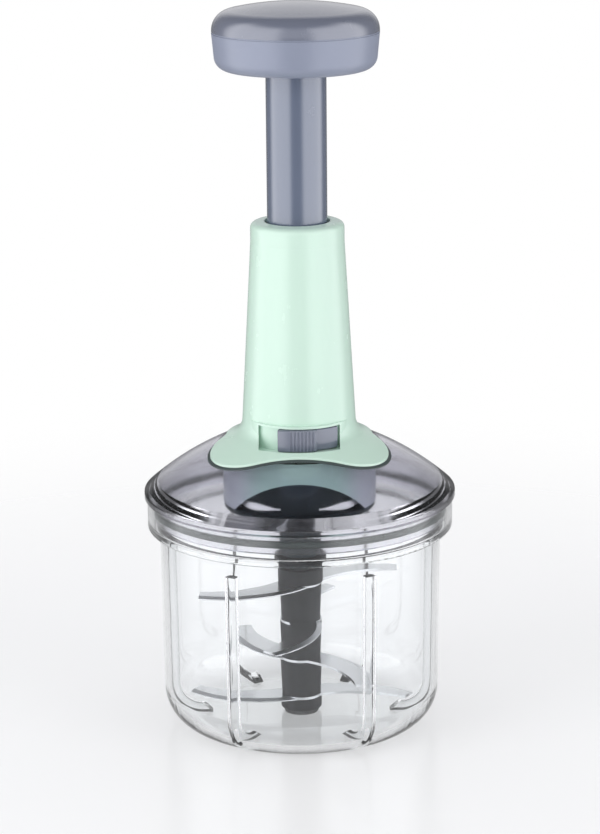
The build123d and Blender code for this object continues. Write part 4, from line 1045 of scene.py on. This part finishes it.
@dataclass
class Studio:
    """Pale floor, white surroundings with tall soft boxes to both sides, and the camera.

    Angles are in degrees. Bearings start at the front, where the camera is, and grow to both
    sides alike.
    """

    camera_side: float = 0.44
    camera_back: float = 1216.3
    camera_height: float = 464.45
    camera_pitch: float = 14.79
    camera_roll: float = -0.52
    lens: float = 120.0
    sensor: float = 36.0
    nearest: float = 50.0
    farthest: float = 50000.0
    floor_colour: Colour = (0.62, 0.62, 0.63)
    floor_spread: Pair = (0.99, 1.0)
    floor_roughness: float = 0.22
    floor_glow: float = 0.42
    floor_drop: float = 0.2
    floor_inner: float = 200.0
    floor_outer: float = 560.0
    box_colour: Colour = (0.97, 0.97, 1.0)
    box_start: float = 13.0
    box_full: float = 32.0
    box_fade: float = 96.0
    box_end: float = 122.0
    back_start: float = 148.0
    back_full: float = 172.0
    back_low: float = -4.0
    back_high: float = 6.0
    box_strength: float = 3.0
    back_strength: float = 0.75
    front_strength: float = 1.1
    dark_strength: float = 0.2
    overhead_start: float = 38.0
    overhead_full: float = 66.0
    overhead_strength: float = 0.12
    fill_colour: Colour = (0.97, 0.98, 1.0)
    fill_strength: float = 0.78
    fill_above: float = 0.30
    fill_start: float = 12.0
    fill_full: float = 62.0
    sight_colour: Colour = (0.98, 0.99, 1.0)
    sight_start: float = 8.0
    sight_full: float = 38.0
    bent_share: float = 0.85
    aim: Place = (0.0, 0.0, 170.0)
    lamps: tuple[Lamp, ...] = (
        Lamp("box_left", (-1000.0, -700.0, 450.0), (800.0, 900.0), 6.5),
        Lamp("box_right", (1000.0, -700.0, 450.0), (800.0, 900.0), 4.5),
        Lamp("box_top", (0.0, 0.0, 1400.0), (1300.0, 1300.0), 3.0),
    )

    def build_camera(self) -> None:
        """Makes the camera and hands it to the scene."""
        data = bpy.data.cameras.new("camera")
        data.lens = self.lens
        data.sensor_width = self.sensor
        data.sensor_fit = "AUTO"
        data.clip_start = self.nearest * MM
        data.clip_end = self.farthest * MM
        camera = bpy.data.objects.new("camera", data)
        bpy.context.scene.collection.objects.link(camera)
        camera.location = (self.camera_side * MM, -self.camera_back * MM, self.camera_height * MM)
        tilt = Matrix.Rotation(math.radians(90.0 - self.camera_pitch), 3, "X")
        roll = Matrix.Rotation(math.radians(self.camera_roll), 3, "Z")
        camera.rotation_euler = (tilt @ roll).to_euler()
        bpy.context.scene.camera = camera

    def floor_material(self) -> bpy.types.Material:
        """Builds the floor's material, which is gone at the floor's edge.

        Returns:
            The material.
        """
        nodes = FinishNodes("floor")
        cloud = nodes.noise(Pattern.FLOOR_CLOUD)
        nodes.put(
            nodes.shader,
            Base_Color=nodes.shades(cloud, self.floor_colour, self.floor_spread),
            Roughness=self.floor_roughness,
            Emission_Color=WHITE,
            Emission_Strength=self.floor_glow,
        )
        gap = nodes.add("ShaderNodeVectorMath", operation="LENGTH", Vector=nodes.place)
        fade = nodes.step(gap.outputs["Value"], self.floor_inner * MM, self.floor_outer * MM)
        clear = nodes.add("ShaderNodeBsdfTransparent").outputs["BSDF"]
        both = nodes.blend(fade, nodes.shader.outputs["BSDF"], clear)
        nodes.put(nodes.output, Surface=both)
        return nodes.material

    def build_floor(self) -> None:
        """Lays the floor, which fades into the white around it."""
        mesh = bpy.data.meshes.new("floor")
        reach = self.floor_outer * MM
        mesh.from_pydata(
            [(-reach, -reach, 0), (reach, -reach, 0), (reach, reach, 0), (-reach, reach, 0)],
            [],
            [(0, 1, 2, 3)],
        )
        mesh.materials.append(self.floor_material())
        floor = bpy.data.objects.new("floor", mesh)
        bpy.context.scene.collection.objects.link(floor)
        floor.location.z = -self.floor_drop * MM

    def gleam(self, nodes: NodeTree, bearing: Socket, height: Socket) -> Socket:
        """Works out how bright a direction is in what gleams.

        Args:
            nodes: The surroundings' nodes.
            bearing: The direction's bearing, to either side alike.
            height: Its angle above the level.

        Returns:
            The brightness: boxes to the sides, a weaker back and front, dark flags between.
        """
        opening = nodes.step(bearing, self.box_start, self.box_full)
        closing = nodes.step(bearing, self.box_fade, self.box_end)
        rear = nodes.step(bearing, self.back_start, self.back_full)
        raised = nodes.step(height, self.back_low, self.back_high)
        above = nodes.step(height, self.overhead_start, self.overhead_full)
        shine: Level = 0.0
        for share, limit, strength in (
            (opening, nodes.work_out("SUBTRACT", 1.0, closing), self.box_strength),
            (rear, raised, self.back_strength),
            (nodes.work_out("SUBTRACT", 1.0, opening), raised, self.front_strength),
        ):
            part = nodes.work_out("MULTIPLY", share, limit)
            shine = nodes.work_out("MULTIPLY_ADD", part, strength - self.dark_strength, shine)
        around = nodes.work_out("ADD", shine, self.dark_strength)
        kept = nodes.work_out("MULTIPLY", around, nodes.work_out("SUBTRACT", 1.0, above))
        return nodes.work_out("MULTIPLY_ADD", above, self.overhead_strength, kept)

    def sight(self, nodes: NodeTree, back: Socket, gleam: Socket) -> Socket:
        """Works out how bright a direction is to what looks through the clear pieces.

        Args:
            nodes: The surroundings' nodes.
            back: How much of the direction points straight back, from -1 to 1.
            gleam: The direction's brightness in what gleams.

        Returns:
            The brightness: white straight behind, and nearly the gleam where the ray is bent.
        """
        off_axis = nodes.work_out("DEGREES", nodes.work_out("ARCCOSINE", back))
        bent = nodes.step(off_axis, self.sight_start, self.sight_full)
        share = nodes.work_out("MULTIPLY", bent, self.bent_share)
        kept = nodes.work_out("MULTIPLY", share, gleam)
        return nodes.work_out("ADD", nodes.work_out("SUBTRACT", 1.0, bent), kept)

    def fill(self, nodes: NodeTree, height: Socket) -> Socket:
        """Works out how bright a direction is to what is merely lit.

        Args:
            nodes: The surroundings' nodes.
            height: The direction's angle above the level.

        Returns:
            The brightness, which drops overhead.
        """
        over = nodes.step(height, self.fill_start, self.fill_full)
        drop = self.fill_above - self.fill_strength
        return nodes.work_out("MULTIPLY_ADD", over, drop, self.fill_strength)

    def build_world(self) -> None:
        """Surrounds the scene: plain white to the eye, soft boxes and dark flags in gleams."""
        world = bpy.data.worlds.new("studio")
        bpy.context.scene.world = world
        nodes = NodeTree(world)
        place = nodes.add("ShaderNodeTexCoord").outputs["Generated"]
        side, back, up = nodes.add("ShaderNodeSeparateXYZ", Vector=place).outputs
        front = nodes.work_out("MULTIPLY", back, -1.0)
        turn = nodes.work_out("ABSOLUTE", nodes.work_out("ARCTAN2", side, front))
        bearing = nodes.work_out("DEGREES", turn)
        height = nodes.work_out("DEGREES", nodes.work_out("ARCSINE", up))
        gleam = self.gleam(nodes, bearing, height)
        boxes = nodes.light(self.box_colour, gleam)
        sight = nodes.light(self.sight_colour, self.sight(nodes, back, gleam))
        rays = nodes.add("ShaderNodeLightPath").outputs
        mixed = nodes.light(self.fill_colour, self.fill(nodes, height))
        mixed = nodes.blend(rays["Is Glossy Ray"], mixed, boxes)
        mixed = nodes.blend(rays["Is Transmission Ray"], mixed, sight)
        mixed = nodes.blend(rays["Is Camera Ray"], mixed, nodes.light(WHITE, 1.0))
        nodes.add("ShaderNodeOutputWorld", Surface=mixed)

    def build(self) -> None:
        """Sets up the whole studio."""
        self.build_camera()
        self.build_floor()
        self.build_world()
        for lamp in self.lamps:
            lamp.hang(self.aim)
        bpy.context.scene.view_settings.view_transform = "Standard"


# ------------------------------------------------------------------ making the object


def main() -> None:
    """Builds the chopper's looks in order and reports each piece."""
    logging.basicConfig(level=logging.INFO, format="%(name)s: %(message)s")
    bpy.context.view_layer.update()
    book = FinishBook()
    Studio().build()
    for kind in (Bowl, Lid, Tower, Plunger, Catch, Drive, BladeStack):
        assembly = kind(book)
        assembly.build()
        assembly.dress()
        assembly.report()


if __name__ == "__main__":
    main()
